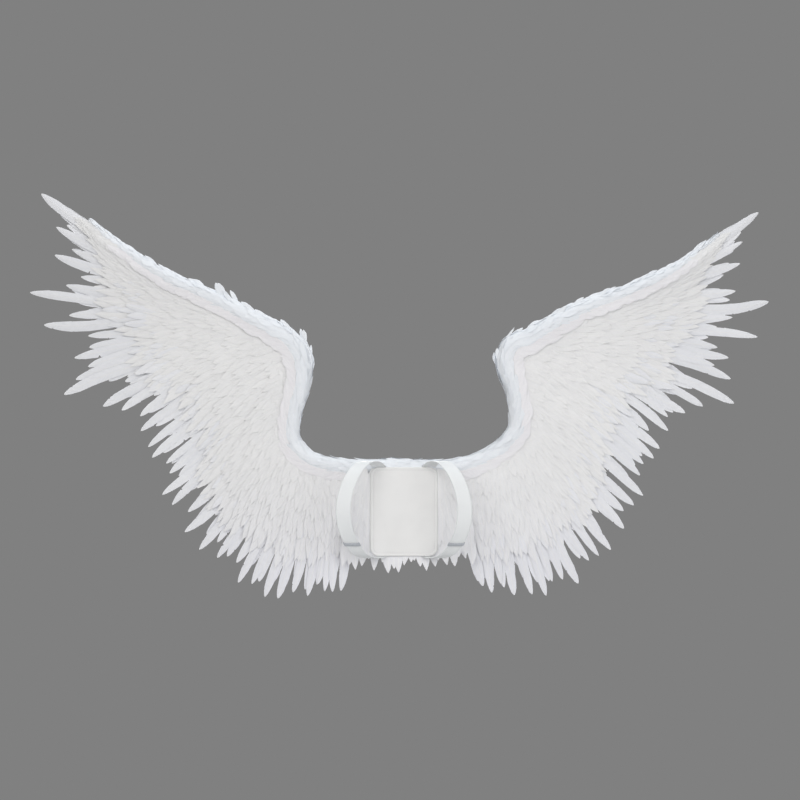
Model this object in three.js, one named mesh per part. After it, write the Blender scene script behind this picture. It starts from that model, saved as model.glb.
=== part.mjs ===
// Feathered costume wings, worn on the back with two shoulder straps.
// Units are millimetres. +Z is up, -Y is towards the wearer's front, +X is the wearer's left.
// The origin is the middle of the back plate's front face, which lies on the wearer's back.

import * as THREE from 'three';

// Reach of the wings, measured from the middle of the back plate
const leftHalfSpan = 1040;
const rightHalfSpan = 1067;
const leftRise = 846;
const rightRise = 898;
const wingDrop = 250;
const sweepLean = 60;
const sweepBow = 120;

// Roll along the leading edge: its full width in the wing's plane and its full depth front to back
const rollWidth = 52;
const rollDepth = 48;
const rollScallop = 0.07;

// Sheets of feathers, stacked from front to back
const sheetThickness = 4;
const sheetGap = 0.6;
const rollClearance = 0.9;
const seatClearance = 0.4;

// Feather blades: full width, and how far each row is split from its tips
const flightBladeWidth = 33;
const covertBladeWidth = 40;
const primarySplit = 125;
const secondarySplit = 88;
const tertialSplit = 76;
const greaterSplit = 58;
const medianSplit = 45;
const lesserSplit = 36;
const centreSplit = 42;

// Back plate
const plateWidth = 190;
const plateHeight = 250;
const plateThickness = 6;
const plateCornerRadius = 24;

// Shoulder straps: each is a loop round one shoulder
const strapWidth = 40;
const strapThickness = 2.5;
const strapSeatOut = 70;
const loopOut = 167;
const loopForward = 126;
const loopTop = 142;
const loopBottom = 130;

// Slider on each strap
const sliderLength = 12;
const sliderWall = 2;
const sliderClearance = 0.5;

// Counts that set how finely the curved pieces are divided
const rollSteps = 26;
const rollSides = 10;
const strapSteps = 30;
const sliderSteps = 2;

// Turns rows of values into objects with the named columns
function table(columns, rows) {
  return rows.map((row) => Object.fromEntries(columns.map((column, index) => [column, row[index]])));
}

// Rays of a wing's fan, from the plate to the wing tip. Each starts on the roll's centre line (rootOut,
// rootUp) and ends at the fringe (tipOut, tipUp). Out is a share of the half span and up is a share of
// the rise, or of the drop where it is below zero.
const fanColumns = ['rootOut', 'rootUp', 'tipOut', 'tipUp'];
const leftFan = table(fanColumns, [
  [0.144, 0.144, 0.199, -0.85],
  [0.192, 0.161, 0.241, -0.92],
  [0.236, 0.187, 0.345, -0.97],
  [0.274, 0.225, 0.449, -0.8],
  [0.299, 0.266, 0.551, -0.49],
  [0.31, 0.319, 0.625, -0.03],
  [0.302, 0.396, 0.663, 0.128],
  [0.287, 0.455, 0.713, 0.236],
  [0.288, 0.526, 0.79, 0.33],
  [0.322, 0.565, 0.868, 0.388],
  [0.37, 0.591, 0.9, 0.485],
  [0.418, 0.623, 0.945, 0.576],
  [0.471, 0.662, 0.966, 0.69],
  [0.548, 0.706, 0.935, 0.81],
  [0.649, 0.745, 0.945, 0.91],
  [0.745, 0.807, 0.973, 1],
]);
const rightFan = table(fanColumns, [
  [0.141, 0.135, 0.155, -0.888],
  [0.183, 0.137, 0.23, -0.936],
  [0.222, 0.146, 0.331, -0.992],
  [0.265, 0.173, 0.438, -0.776],
  [0.292, 0.215, 0.537, -0.456],
  [0.298, 0.287, 0.604, -0.03],
  [0.281, 0.367, 0.651, 0.127],
  [0.276, 0.437, 0.705, 0.238],
  [0.279, 0.492, 0.799, 0.324],
  [0.306, 0.533, 0.87, 0.39],
  [0.349, 0.561, 0.905, 0.49],
  [0.392, 0.597, 0.94, 0.6],
  [0.44, 0.627, 0.965, 0.695],
  [0.525, 0.676, 0.94, 0.81],
  [0.628, 0.731, 0.946, 0.914],
  [0.731, 0.81, 0.967, 1],
]);

// Centre line of a wing's roll, from the middle of the back to its end near the wing tip. Out and up are
// shares as in the fan, and size is a share of the roll's width.
const rollColumns = ['out', 'up', 'size'];
const leftRoll = table(rollColumns, [
  [0, 0.142, 1],
  [0.113, 0.142, 1],
  [0.194, 0.162, 1],
  [0.27, 0.215, 1],
  [0.308, 0.28, 1.02],
  [0.304, 0.388, 1.05],
  [0.283, 0.485, 1.25],
  [0.296, 0.546, 1.3],
  [0.348, 0.578, 1.1],
  [0.474, 0.665, 0.92],
  [0.619, 0.735, 0.8],
  [0.757, 0.817, 0.58],
  [0.868, 0.932, 0.16],
]);
const rightRoll = table(rollColumns, [
  [0, 0.137, 1],
  [0.117, 0.134, 1],
  [0.185, 0.138, 1],
  [0.25, 0.16, 1],
  [0.297, 0.222, 1.02],
  [0.297, 0.3, 1.05],
  [0.277, 0.39, 1.1],
  [0.277, 0.477, 1.3],
  [0.31, 0.538, 1.25],
  [0.38, 0.587, 1],
  [0.505, 0.665, 0.88],
  [0.638, 0.738, 0.76],
  [0.772, 0.843, 0.52],
  [0.845, 0.924, 0.16],
]);

// Feathers of each wing's fringe, from the plate to the wing tip: the ray that each lies on and its tip as a
// share of the ray's length
const fringeColumns = ['ray', 'tip'];
const leftFringe = table(fringeColumns, [
  [0.2, 0.95],
  [0.52, 0.97],
  [0.97, 1],
  [1.31, 0.92],
  [1.6, 0.99],
  [2.05, 0.985],
  [2.37, 1.02],
  [2.63, 0.95],
  [2.88, 0.97],
  [3.17, 1.045],
  [3.62, 0.96],
  [3.85, 0.98],
  [4.14, 1.01],
  [4.62, 1],
  [4.9, 0.94],
  [5.16, 0.99],
  [5.47, 1.03],
  [5.83, 0.97],
  [6.14, 0.965],
  [6.42, 1.01],
  [6.74, 1.01],
  [7.27, 0.985],
  [7.62, 0.925],
  [7.93, 0.98],
  [8.34, 1.01],
  [8.84, 1.1],
  [9.59, 1.025],
  [9.93, 0.92],
  [10.3, 0.97],
  [10.62, 0.88],
  [11.09, 1.06],
  [11.68, 0.89],
  [12.12, 1.1],
  [12.44, 0.915],
  [13.25, 0.99],
  [14.07, 0.955],
  [15.02, 1.045],
]);
const rightFringe = table(fringeColumns, [
  [0.17, 1],
  [0.46, 1],
  [0.76, 0.985],
  [1.02, 0.92],
  [1.27, 1],
  [1.69, 0.95],
  [2.03, 1],
  [2.33, 1.02],
  [2.7, 0.98],
  [2.98, 1.025],
  [3.23, 0.91],
  [3.64, 0.965],
  [4.06, 1.01],
  [4.58, 1.02],
  [4.86, 0.93],
  [5.19, 1.01],
  [5.52, 1.045],
  [5.82, 0.95],
  [6.07, 0.945],
  [6.35, 1.01],
  [6.63, 1],
  [7.1, 0.98],
  [7.48, 0.86],
  [7.79, 0.95],
  [8.06, 1.005],
  [8.86, 1.09],
  [9.27, 1],
  [9.6, 0.92],
  [9.91, 0.97],
  [10.2, 0.88],
  [10.92, 1.06],
  [11.2, 0.92],
  [11.93, 1.09],
  [12.28, 0.9],
  [13.03, 1],
  [13.34, 0.87],
  [13.95, 0.975],
  [15.02, 1.045],
]);

// Rows of feathers on each wing. layer counts sheets from the wing's middle, in front where negative.
// reach is how much of the free part of each ray the row covers. A row without a number of feathers has those
// of the wing's fringe.
const rowColumns = ['name', 'layer', 'fromRay', 'toRay', 'feathers', 'reach', 'split', 'width'];
const wingRows = table(rowColumns, [
  ['tertials', -0.5, 0, 3.4, 0, 1, tertialSplit, flightBladeWidth],
  ['secondaries', -0.5, 3.4, 8.6, 0, 1, secondarySplit, flightBladeWidth],
  ['primaries', -0.5, 8.6, 15.3, 0, 1, primarySplit, flightBladeWidth],
  ['tertials_second_row', 0.5, 0, 3.65, 12, 0.91, tertialSplit, flightBladeWidth],
  ['secondaries_second_row', 0.5, 3.65, 8.35, 13, 0.89, secondarySplit, flightBladeWidth],
  ['primaries_second_row', 0.5, 8.35, 15.2, 17, 0.82, primarySplit, flightBladeWidth],
  ['front_greater_coverts_inner', -1.5, 0, 5.5, 13, 0.76, greaterSplit, covertBladeWidth],
  ['front_greater_coverts_outer', -1.5, 5.5, 15.1, 18, 0.72, greaterSplit, covertBladeWidth],
  ['front_median_coverts_inner', -2.5, 0.1, 5.5, 11, 0.54, medianSplit, covertBladeWidth],
  ['front_median_coverts_outer', -2.5, 5.5, 14.9, 15, 0.5, medianSplit, covertBladeWidth],
  ['front_lesser_coverts_inner', -3.5, 0.2, 5.5, 10, 0.32, lesserSplit, covertBladeWidth],
  ['front_lesser_coverts_outer', -3.5, 5.5, 14.6, 13, 0.3, lesserSplit, covertBladeWidth],
  ['back_greater_coverts_inner', 1.5, 0, 5.5, 13, 0.72, greaterSplit, covertBladeWidth],
  ['back_greater_coverts_outer', 1.5, 5.5, 15.1, 18, 0.7, greaterSplit, covertBladeWidth],
  ['back_median_coverts_inner', 2.5, 0.1, 5.5, 11, 0.5, medianSplit, covertBladeWidth],
  ['back_median_coverts_outer', 2.5, 5.5, 14.9, 15, 0.47, medianSplit, covertBladeWidth],
  ['back_lesser_coverts_inner', 3.5, 0.2, 5.5, 10, 0.3, lesserSplit, covertBladeWidth],
  ['back_lesser_coverts_outer', 3.5, 5.5, 14.6, 13, 0.27, lesserSplit, covertBladeWidth],
]);

// Rows of short feathers behind the plate. Out is a share of half the plate's width and up a share of
// half its height. layer counts sheets from the plate's back.
const centreFan = table(fanColumns, [
  [-1.5, 0.7, -1.9, -1.2],
  [-0.75, 0.72, -0.9, -1.3],
  [0, 0.72, 0, -1.32],
  [0.75, 0.72, 0.9, -1.3],
  [1.5, 0.7, 1.9, -1.2],
]);
const centreRows = table(rowColumns, [
  ['centre_feathers_front', 0, 0, 4, 13, 1, centreSplit, flightBladeWidth],
  ['centre_feathers_back', 1, 0, 4, 12, 0.9, centreSplit, flightBladeWidth],
]);

// Route of a strap's middle line: out as a share of the way from its seat to the loop's side, forward as
// a share of the loop's reach, up as a share of the loop's top or bottom
const strapColumns = ['out', 'forward', 'up'];
const strapRoute = table(strapColumns, [
  [0.03, 0.08, 0.92],
  [0.2, 0.36, 1],
  [0.44, 0.63, 0.98],
  [0.69, 0.85, 0.8],
  [0.9, 0.98, 0.48],
  [1, 1, 0.14],
  [0.97, 0.92, -0.23],
  [0.82, 0.73, -0.58],
  [0.56, 0.48, -0.87],
  [0.27, 0.22, -0.98],
]);
const sliderPlace = 0.735;

// Shares that shape every blade, and how much neighbouring feathers differ
const shoulderShare = 0.42;
const kneeThickness = 0.6;
const rootEdgeThickness = 0.8;
const lengthScatter = 0.05;
const sideScatter = 0.16;
const widestShareOfPitch = 0.41;
const leastSplitStart = 0.3;
const rowGapInRays = 0.03;
const goldenShare = (Math.sqrt(5) - 1) / 2;
const tangentProbe = 0.1;

const hubDepth = plateThickness + seatClearance + rollDepth / 2;
const layerPitch = sheetThickness + sheetGap;

function featherMaterial(colour) {
  return new THREE.MeshStandardMaterial({ color: colour, roughness: 0.9, metalness: 0 });
}

const materials = {
  flight: featherMaterial('#f6f8fc'),
  covert: featherMaterial('#faf9f8'),
  roll: featherMaterial('#eef5fd'),
  webbing: new THREE.MeshStandardMaterial({ color: '#f3f2ef', roughness: 0.8, metalness: 0 }),
  plate: new THREE.MeshStandardMaterial({ color: '#f1f0ec', roughness: 0.85, metalness: 0 }),
  slider: new THREE.MeshStandardMaterial({ color: '#b9bcc2', roughness: 0.4, metalness: 0 }),
};

// A value between 0 and 1 that differs from feather to feather and is the same in every build
function scatter(index, row) {
  const value = (index + 1) * goldenShare + (row + 1) * Math.SQRT2;
  return value - Math.floor(value);
}

// Smooth value of one column at a place along the rows, carried straight on past the last row
function columnAt(rows, column, place) {
  const last = rows.length - 1;
  const cell = THREE.MathUtils.clamp(Math.floor(place), 0, last - 1);
  const part = place - cell;
  const from = rows[cell][column];
  const to = rows[cell + 1][column];
  if (part > 1 || part < 0) {
    return from + (to - from) * part;
  }
  const before = cell > 0 ? rows[cell - 1][column] : 2 * from - to;
  const after = cell + 2 <= last ? rows[cell + 2][column] : 2 * to - from;
  const slopeFrom = (to - before) / 2;
  const slopeTo = (after - from) / 2;
  const square = part * part;
  const cube = square * part;
  return (2 * from - 2 * to + slopeFrom + slopeTo) * cube
    + (3 * to - 3 * from - 2 * slopeFrom - slopeTo) * square
    + slopeFrom * part
    + from;
}

// Collects points and faces, and returns them as a closed geometry whose faces point out
class Shell {
  constructor() {
    this.points = [];
    this.faces = [];
  }

  point(vector) {
    this.points.push(vector);
    return this.points.length - 1;
  }

  face(...corners) {
    for (let index = 1; index < corners.length - 1; index += 1) {
      this.faces.push([corners[0], corners[index], corners[index + 1]]);
    }
  }

  volume() {
    return this.faces.reduce((sum, [a, b, c]) => {
      const cross = new THREE.Vector3().crossVectors(this.points[b], this.points[c]);
      return sum + this.points[a].dot(cross) / 6;
    }, 0);
  }

  geometry() {
    const inward = this.volume() < 0;
    const order = inward ? this.faces.map(([a, b, c]) => [a, c, b]) : this.faces;
    const geometry = new THREE.BufferGeometry();
    geometry.setFromPoints(this.points);
    geometry.setIndex(order.flat());
    geometry.computeVertexNormals();
    return geometry;
  }
}

// Joins a list of rings with the same number of points into one closed body
function loftedGeometry(rings) {
  const shell = new Shell();
  const numbered = rings.map((ring) => ring.map((vector) => shell.point(vector)));
  const sides = numbered[0].length;
  for (let step = 0; step < numbered.length - 1; step += 1) {
    const here = numbered[step];
    const there = numbered[step + 1];
    for (let side = 0; side < sides; side += 1) {
      const next = (side + 1) % sides;
      shell.face(here[side], here[next], there[next], there[side]);
    }
  }
  shell.face(...[...numbered[0]].reverse());
  shell.face(...numbered[numbered.length - 1]);
  return shell.geometry();
}

// One wing: its sizes, tables and the side it is on
const wings = [
  {
    name: 'left',
    side: 1,
    halfSpan: leftHalfSpan,
    rise: leftRise,
    fan: leftFan,
    roll: leftRoll,
    fringe: leftFringe,
  },
  {
    name: 'right',
    side: -1,
    halfSpan: rightHalfSpan,
    rise: rightRise,
    fan: rightFan,
    roll: rightRoll,
    fringe: rightFringe,
  },
];

// How far behind the plate's front face the wing's middle surface lies
function depthAt(wing, out) {
  const share = out / wing.halfSpan;
  return hubDepth + sweepLean * share + sweepBow * share * share;
}

function heightAt(wing, share) {
  return share > 0 ? share * wing.rise : share * wingDrop;
}

// The fan's rays in millimetres
function fanOf(wing) {
  return wing.fan.map((row) => ({
    rootOut: row.rootOut * wing.halfSpan,
    rootUp: heightAt(wing, row.rootUp),
    tipOut: row.tipOut * wing.halfSpan,
    tipUp: heightAt(wing, row.tipUp),
  }));
}

// A point of the roll's centre line with the roll's half width and half depth there
function rollSection(wing, place) {
  const size = columnAt(wing.roll, 'size', place);
  return {
    out: columnAt(wing.roll, 'out', place) * wing.halfSpan,
    up: heightAt(wing, columnAt(wing.roll, 'up', place)),
    halfWidth: (rollWidth / 2) * size,
    halfDepth: (rollDepth / 2) * Math.min(1, size),
  };
}

// The roll: an oval tube of contour feathers, scalloped along its length
function rollGeometry(wing) {
  const last = wing.roll.length - 1;
  const rings = [];
  for (let step = 0; step <= rollSteps; step += 1) {
    const place = (last * step) / rollSteps;
    const section = rollSection(wing, place);
    const ahead = rollSection(wing, Math.min(last, place + tangentProbe));
    const behind = rollSection(wing, Math.max(0, place - tangentProbe));
    const along = new THREE.Vector2(ahead.out - behind.out, ahead.up - behind.up).normalize();
    const shrink = step % 2 === 0 ? 1 : 1 - rollScallop;
    const start = step === 0 ? seatClearance / 2 : 0;
    const ring = [];
    for (let side = 0; side < rollSides; side += 1) {
      const angle = (2 * Math.PI * side) / rollSides - Math.PI / 2;
      const across = Math.cos(angle) * section.halfWidth * shrink;
      const out = Math.max(start, section.out - along.y * across);
      const up = section.up + along.x * across;
      const depth = depthAt(wing, out) + Math.sin(angle) * section.halfDepth * shrink;
      ring.push(new THREE.Vector3(wing.side * out, depth, up));
    }
    rings.push(ring);
  }
  return loftedGeometry(rings);
}

// Closely spaced sections of the roll, to find where a ray leaves it. Between the roll's rings they are
// straight, as its faces are.
function rollSamples(wing) {
  const samplesPerStep = 8;
  const last = wing.roll.length - 1;
  const ringAt = (_, step) => rollSection(wing, (last * step) / rollSteps);
  const rings = Array.from({ length: rollSteps + 1 }, ringAt);
  const samples = [];
  for (let step = 0; step < rollSteps; step += 1) {
    for (let index = 0; index < samplesPerStep; index += 1) {
      const part = index / samplesPerStep;
      const between = (name) => THREE.MathUtils.lerp(rings[step][name], rings[step + 1][name], part);
      samples.push({
        out: between('out'),
        up: between('up'),
        halfWidth: between('halfWidth'),
        halfDepth: between('halfDepth'),
      });
    }
  }
  return [...samples, rings[rollSteps]];
}

// The surface that carries a wing's rows: a ray of the fan and a share of its length give a point
class WingSurface {
  constructor(wing) {
    this.wing = wing;
    this.fan = fanOf(wing);
    this.samples = rollSamples(wing);
  }

  flatPoint(ray, share) {
    const rootOut = columnAt(this.fan, 'rootOut', ray);
    const tipOut = columnAt(this.fan, 'tipOut', ray);
    const rootUp = columnAt(this.fan, 'rootUp', ray);
    const tipUp = columnAt(this.fan, 'tipUp', ray);
    const rootDepth = depthAt(this.wing, rootOut);
    const tipDepth = depthAt(this.wing, tipOut);
    return new THREE.Vector3(
      THREE.MathUtils.lerp(rootOut, tipOut, share),
      THREE.MathUtils.lerp(rootDepth, tipDepth, share),
      THREE.MathUtils.lerp(rootUp, tipUp, share),
    );
  }

  point(ray, share, offset) {
    const flat = this.flatPoint(ray, share);
    return new THREE.Vector3(this.wing.side * flat.x, flat.y + offset, flat.z);
  }

  length(ray) {
    return this.flatPoint(ray, 0).distanceTo(this.flatPoint(ray, 1));
  }

  // True if a sheet at this offset is clear of the roll at this point
  clearOfRoll(ray, share, offset) {
    const flat = this.flatPoint(ray, share);
    const deep = flat.y + offset - depthAt(this.wing, flat.x);
    const inner = Math.max(0, Math.abs(deep) - sheetThickness / 2 - rollClearance);
    return this.samples.every((section) => {
      const across = Math.hypot(flat.x - section.out, flat.z - section.up) - rollClearance;
      const wide = across / section.halfWidth;
      const thick = inner / section.halfDepth;
      return across > 0 && wide * wide + thick * thick >= 1;
    });
  }

  // Share of the ray at which a sheet leaves the roll
  rootShare(ray, offset) {
    const step = 0.004;
    const farthest = 0.9;
    let share = 0;
    while (share < farthest && !this.clearOfRoll(ray, share, offset)) {
      share += step;
    }
    return share;
  }

  // The same, clear of the roll over this much of the fan to either side
  clearShare(ray, offset, spread) {
    const probes = [-1, -0.5, 0, 0.5, 1];
    return Math.max(...probes.map((probe) => this.rootShare(ray + probe * spread, offset)));
  }
}

// The surface behind the plate that carries the centre rows
class CentreSurface {
  constructor() {
    this.fan = centreFan.map((row) => ({
      rootOut: (row.rootOut * plateWidth) / 2,
      rootUp: (row.rootUp * plateHeight) / 2,
      tipOut: (row.tipOut * plateWidth) / 2,
      tipUp: (row.tipUp * plateHeight) / 2,
    }));
    this.depth = plateThickness + seatClearance + sheetThickness / 2;
  }

  point(ray, share, offset) {
    const between = (from, to) => {
      return THREE.MathUtils.lerp(columnAt(this.fan, from, ray), columnAt(this.fan, to, ray), share);
    };
    return new THREE.Vector3(between('rootOut', 'tipOut'), this.depth + offset, between('rootUp', 'tipUp'));
  }

  length(ray) {
    return this.point(ray, 0, 0).distanceTo(this.point(ray, 1, 0));
  }

  rootShare() {
    return 0;
  }

  clearShare() {
    return 0;
  }
}

// How wide one unit of ray is at this share, square to the feathers
function rayPitch(surface, ray, share) {
  const probe = 0.1;
  const step = surface.point(ray + probe, share, 0).sub(surface.point(ray - probe, share, 0));
  const blade = surface.point(ray, 1, 0).sub(surface.point(ray, 0, 0)).normalize();
  return step.cross(blade).length() / (2 * probe);
}

// The wing's fringe feathers that belong to a row, each with the room that its neighbours leave it
function fringeFeathers(surface, row) {
  const own = surface.wing.fringe.filter((feather) => feather.ray > row.fromRay && feather.ray < row.toRay);
  return own.map((feather, index) => {
    const before = index > 0 ? feather.ray - own[index - 1].ray : 2 * (feather.ray - row.fromRay);
    const after = index + 1 < own.length ? own[index + 1].ray - feather.ray : 2 * (row.toRay - feather.ray);
    const root = surface.clearShare(feather.ray, row.layer * layerPitch, Math.max(before, after) / 4);
    return { ray: feather.ray, root, tip: feather.tip, pitch: Math.min(before, after) };
  });
}

// Evenly spaced feathers of a row, each a little out of place and a little longer or shorter
function evenFeathers(surface, row, rowIndex) {
  const pitch = (row.toRay - row.fromRay) / row.feathers;
  return Array.from({ length: row.feathers }, (_, index) => {
    const sideways = (scatter(index, rowIndex) - 0.5) * sideScatter;
    const ray = row.fromRay + (index + 0.5 + sideways) * pitch;
    const root = surface.rootShare(ray, row.layer * layerPitch);
    const rough = 1 + (scatter(index * 2 + 1, rowIndex) - 0.5) * lengthScatter * 2;
    return { ray, root, tip: root + (1 - root) * row.reach * rough, pitch };
  });
}

// Where one feather of a row lies: the shares of its root, tip, shoulders and split along its ray
function bladeOf(surface, row, feather) {
  const split = row.split / surface.length(feather.ray);
  const leastShare = THREE.MathUtils.lerp(feather.root, feather.tip, leastSplitStart);
  const splitShare = Math.max(feather.tip - split, leastShare);
  const shoulder = THREE.MathUtils.lerp(feather.tip, splitShare, shoulderShare);
  const wide = row.width / 2 / rayPitch(surface, feather.ray, shoulder);
  const halfWidth = Math.min(wide, feather.pitch * widestShareOfPitch);
  return { ray: feather.ray, root: feather.root, tip: feather.tip, shoulder, splitShare, halfWidth };
}

// Where the split between two feathers ends, and where that line leaves the roll
function splitOf(surface, row, blades, index) {
  const before = blades[index - 1];
  const after = blades[index];
  const offset = row.layer * layerPitch;
  if (before && after) {
    const ray = (before.ray + after.ray) / 2;
    const spread = row.feathers > 0 ? 0 : (after.ray - before.ray) / 4;
    return {
      ray,
      root: surface.clearShare(ray, offset, spread),
      share: (before.splitShare + after.splitShare) / 2,
    };
  }
  const edge = before ? row.toRay - rowGapInRays : row.fromRay + rowGapInRays;
  const only = before || after;
  return { ray: edge, root: surface.rootShare(edge, offset), share: only.splitShare };
}

// One row of feathers as one closed body: a sheet at the roll, split into ridged blades with thin edges
function rowGeometry(surface, row, rowIndex) {
  const shell = new Shell();
  const half = sheetThickness / 2;
  const feathers = row.feathers > 0 ? evenFeathers(surface, row, rowIndex) : fringeFeathers(surface, row);
  const blades = feathers.map((feather) => bladeOf(surface, row, feather));
  const splits = [...blades, null].map((_, index) => splitOf(surface, row, blades, index));
  const pair = (ray, share, offset, thickness) => ({
    front: shell.point(surface.point(ray, share, offset - thickness)),
    back: shell.point(surface.point(ray, share, offset + thickness)),
  });
  const offset = row.layer * layerPitch;
  const borders = splits.map((split) => ({
    root: pair(split.ray, split.root, offset, half * rootEdgeThickness),
    notch: shell.point(surface.point(split.ray, split.share, offset)),
  }));
  blades.forEach((blade, index) => {
    const left = borders[index];
    const right = borders[index + 1];
    const root = pair(blade.ray, blade.root, offset, half);
    const knee = pair(blade.ray, blade.shoulder, offset, half * kneeThickness);
    const tip = shell.point(surface.point(blade.ray, blade.tip, offset));
    const leftShoulder = shell.point(surface.point(blade.ray - blade.halfWidth, blade.shoulder, offset));
    const rightShoulder = shell.point(surface.point(blade.ray + blade.halfWidth, blade.shoulder, offset));
    shell.face(left.root.front, left.notch, root.front);
    shell.face(left.notch, knee.front, root.front);
    shell.face(left.notch, leftShoulder, knee.front);
    shell.face(leftShoulder, tip, knee.front);
    shell.face(knee.front, tip, rightShoulder);
    shell.face(knee.front, rightShoulder, right.notch);
    shell.face(root.front, knee.front, right.notch);
    shell.face(root.front, right.notch, right.root.front);
    shell.face(root.back, left.notch, left.root.back);
    shell.face(root.back, knee.back, left.notch);
    shell.face(knee.back, leftShoulder, left.notch);
    shell.face(knee.back, tip, leftShoulder);
    shell.face(rightShoulder, tip, knee.back);
    shell.face(right.notch, rightShoulder, knee.back);
    shell.face(right.notch, knee.back, root.back);
    shell.face(right.root.back, right.notch, root.back);
    shell.face(left.root.front, root.front, root.back, left.root.back);
    shell.face(root.front, right.root.front, right.root.back, root.back);
  });
  const first = borders[0];
  const final = borders[borders.length - 1];
  shell.face(first.notch, first.root.front, first.root.back);
  shell.face(final.root.front, final.notch, final.root.back);
  return shell.geometry();
}

// The plate: a flat board with round corners, its front face at the origin
function plateGeometry() {
  const halfWidth = plateWidth / 2;
  const halfHeight = plateHeight / 2;
  const inner = plateCornerRadius;
  const outline = new THREE.Shape();
  outline.absarc(halfWidth - inner, halfHeight - inner, inner, 0, Math.PI / 2);
  outline.absarc(inner - halfWidth, halfHeight - inner, inner, Math.PI / 2, Math.PI);
  outline.absarc(inner - halfWidth, inner - halfHeight, inner, Math.PI, 1.5 * Math.PI);
  outline.absarc(halfWidth - inner, inner - halfHeight, inner, 1.5 * Math.PI, 2 * Math.PI);
  const geometry = new THREE.ExtrudeGeometry(outline, {
    depth: plateThickness,
    bevelEnabled: false,
    curveSegments: 4,
  });
  geometry.rotateX(Math.PI / 2);
  geometry.translate(0, plateThickness, 0);
  return geometry;
}

// Middle line of a strap, from the plate's top edge round the shoulder to its bottom edge
function strapCurve(side) {
  const seatUp = plateHeight / 2 + seatClearance + strapThickness / 2;
  const seat = (up, depth) => new THREE.Vector3(side * strapSeatOut, depth, up);
  const between = strapRoute.map((row) => new THREE.Vector3(
    side * THREE.MathUtils.lerp(strapSeatOut, loopOut, row.out),
    -row.forward * loopForward,
    row.up * (row.up > 0 ? loopTop : loopBottom),
  ));
  const points = [
    seat(seatUp, plateThickness),
    seat(seatUp, 0),
    ...between,
    seat(-seatUp, 0),
    seat(-seatUp, plateThickness),
  ];
  return new THREE.CatmullRomCurve3(points, false, 'centripetal');
}

// A rectangle square to the strap, wide along X and thick away from the shoulder
function strapRing(curve, share, width, thickness) {
  const centre = curve.getPointAt(share);
  const along = curve.getTangentAt(share);
  const away = new THREE.Vector3(0, along.z, -along.y).normalize();
  const across = new THREE.Vector3(1, 0, 0);
  const corners = [[-1, -1], [1, -1], [1, 1], [-1, 1]];
  return corners.map(([sideways, outward]) => centre.clone()
    .addScaledVector(across, (sideways * width) / 2)
    .addScaledVector(away, (outward * thickness) / 2));
}

function strapGeometry(curve) {
  const rings = [];
  for (let step = 0; step <= strapSteps; step += 1) {
    rings.push(strapRing(curve, step / strapSteps, strapWidth, strapThickness));
  }
  return loftedGeometry(rings);
}

// The slider: a short sleeve that the strap passes through
function sliderGeometry(curve) {
  const shell = new Shell();
  const halfShare = sliderLength / curve.getLength() / 2;
  const innerWidth = strapWidth + 2 * sliderClearance;
  const innerThickness = strapThickness + 2 * sliderClearance;
  const rings = [];
  for (let step = 0; step <= sliderSteps; step += 1) {
    const share = sliderPlace + halfShare * ((2 * step) / sliderSteps - 1);
    const inner = strapRing(curve, share, innerWidth, innerThickness);
    const outer = strapRing(curve, share, innerWidth + 2 * sliderWall, innerThickness + 2 * sliderWall);
    rings.push({
      inner: inner.map((vector) => shell.point(vector)),
      outer: outer.map((vector) => shell.point(vector)),
    });
  }
  const corners = rings[0].inner.length;
  const first = rings[0];
  const final = rings[rings.length - 1];
  for (let corner = 0; corner < corners; corner += 1) {
    const next = (corner + 1) % corners;
    for (let step = 0; step < rings.length - 1; step += 1) {
      const here = rings[step];
      const there = rings[step + 1];
      shell.face(here.outer[corner], here.outer[next], there.outer[next], there.outer[corner]);
      shell.face(here.inner[next], here.inner[corner], there.inner[corner], there.inner[next]);
    }
    shell.face(first.outer[next], first.outer[corner], first.inner[corner], first.inner[next]);
    shell.face(final.outer[corner], final.outer[next], final.inner[next], final.inner[corner]);
  }
  return shell.geometry();
}

function named(name, geometry, material) {
  const mesh = new THREE.Mesh(geometry, material);
  mesh.name = name;
  return mesh;
}

function wingGroup(wing) {
  const group = new THREE.Group();
  const surface = new WingSurface(wing);
  group.add(named(`${wing.name}_leading_edge`, rollGeometry(wing), materials.roll));
  wingRows.forEach((row, rowIndex) => {
    const material = Math.abs(row.layer) < 1 ? materials.flight : materials.covert;
    group.add(named(`${wing.name}_${row.name}`, rowGeometry(surface, row, rowIndex), material));
  });
  return group;
}

function centreGroup() {
  const group = new THREE.Group();
  const surface = new CentreSurface();
  group.add(named('back_plate', plateGeometry(), materials.plate));
  centreRows.forEach((row, rowIndex) => {
    group.add(named(row.name, rowGeometry(surface, row, rowIndex), materials.covert));
  });
  return group;
}

function strapGroup(wing) {
  const group = new THREE.Group();
  const curve = strapCurve(wing.side);
  group.add(named(`${wing.name}_shoulder_strap`, strapGeometry(curve), materials.webbing));
  group.add(named(`${wing.name}_strap_slider`, sliderGeometry(curve), materials.slider));
  return group;
}

const model = new THREE.Group();
model.add(centreGroup());
wings.forEach((wing) => {
  model.add(wingGroup(wing));
  model.add(strapGroup(wing));
});

export default model;
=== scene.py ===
import math
from collections import namedtuple

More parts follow.
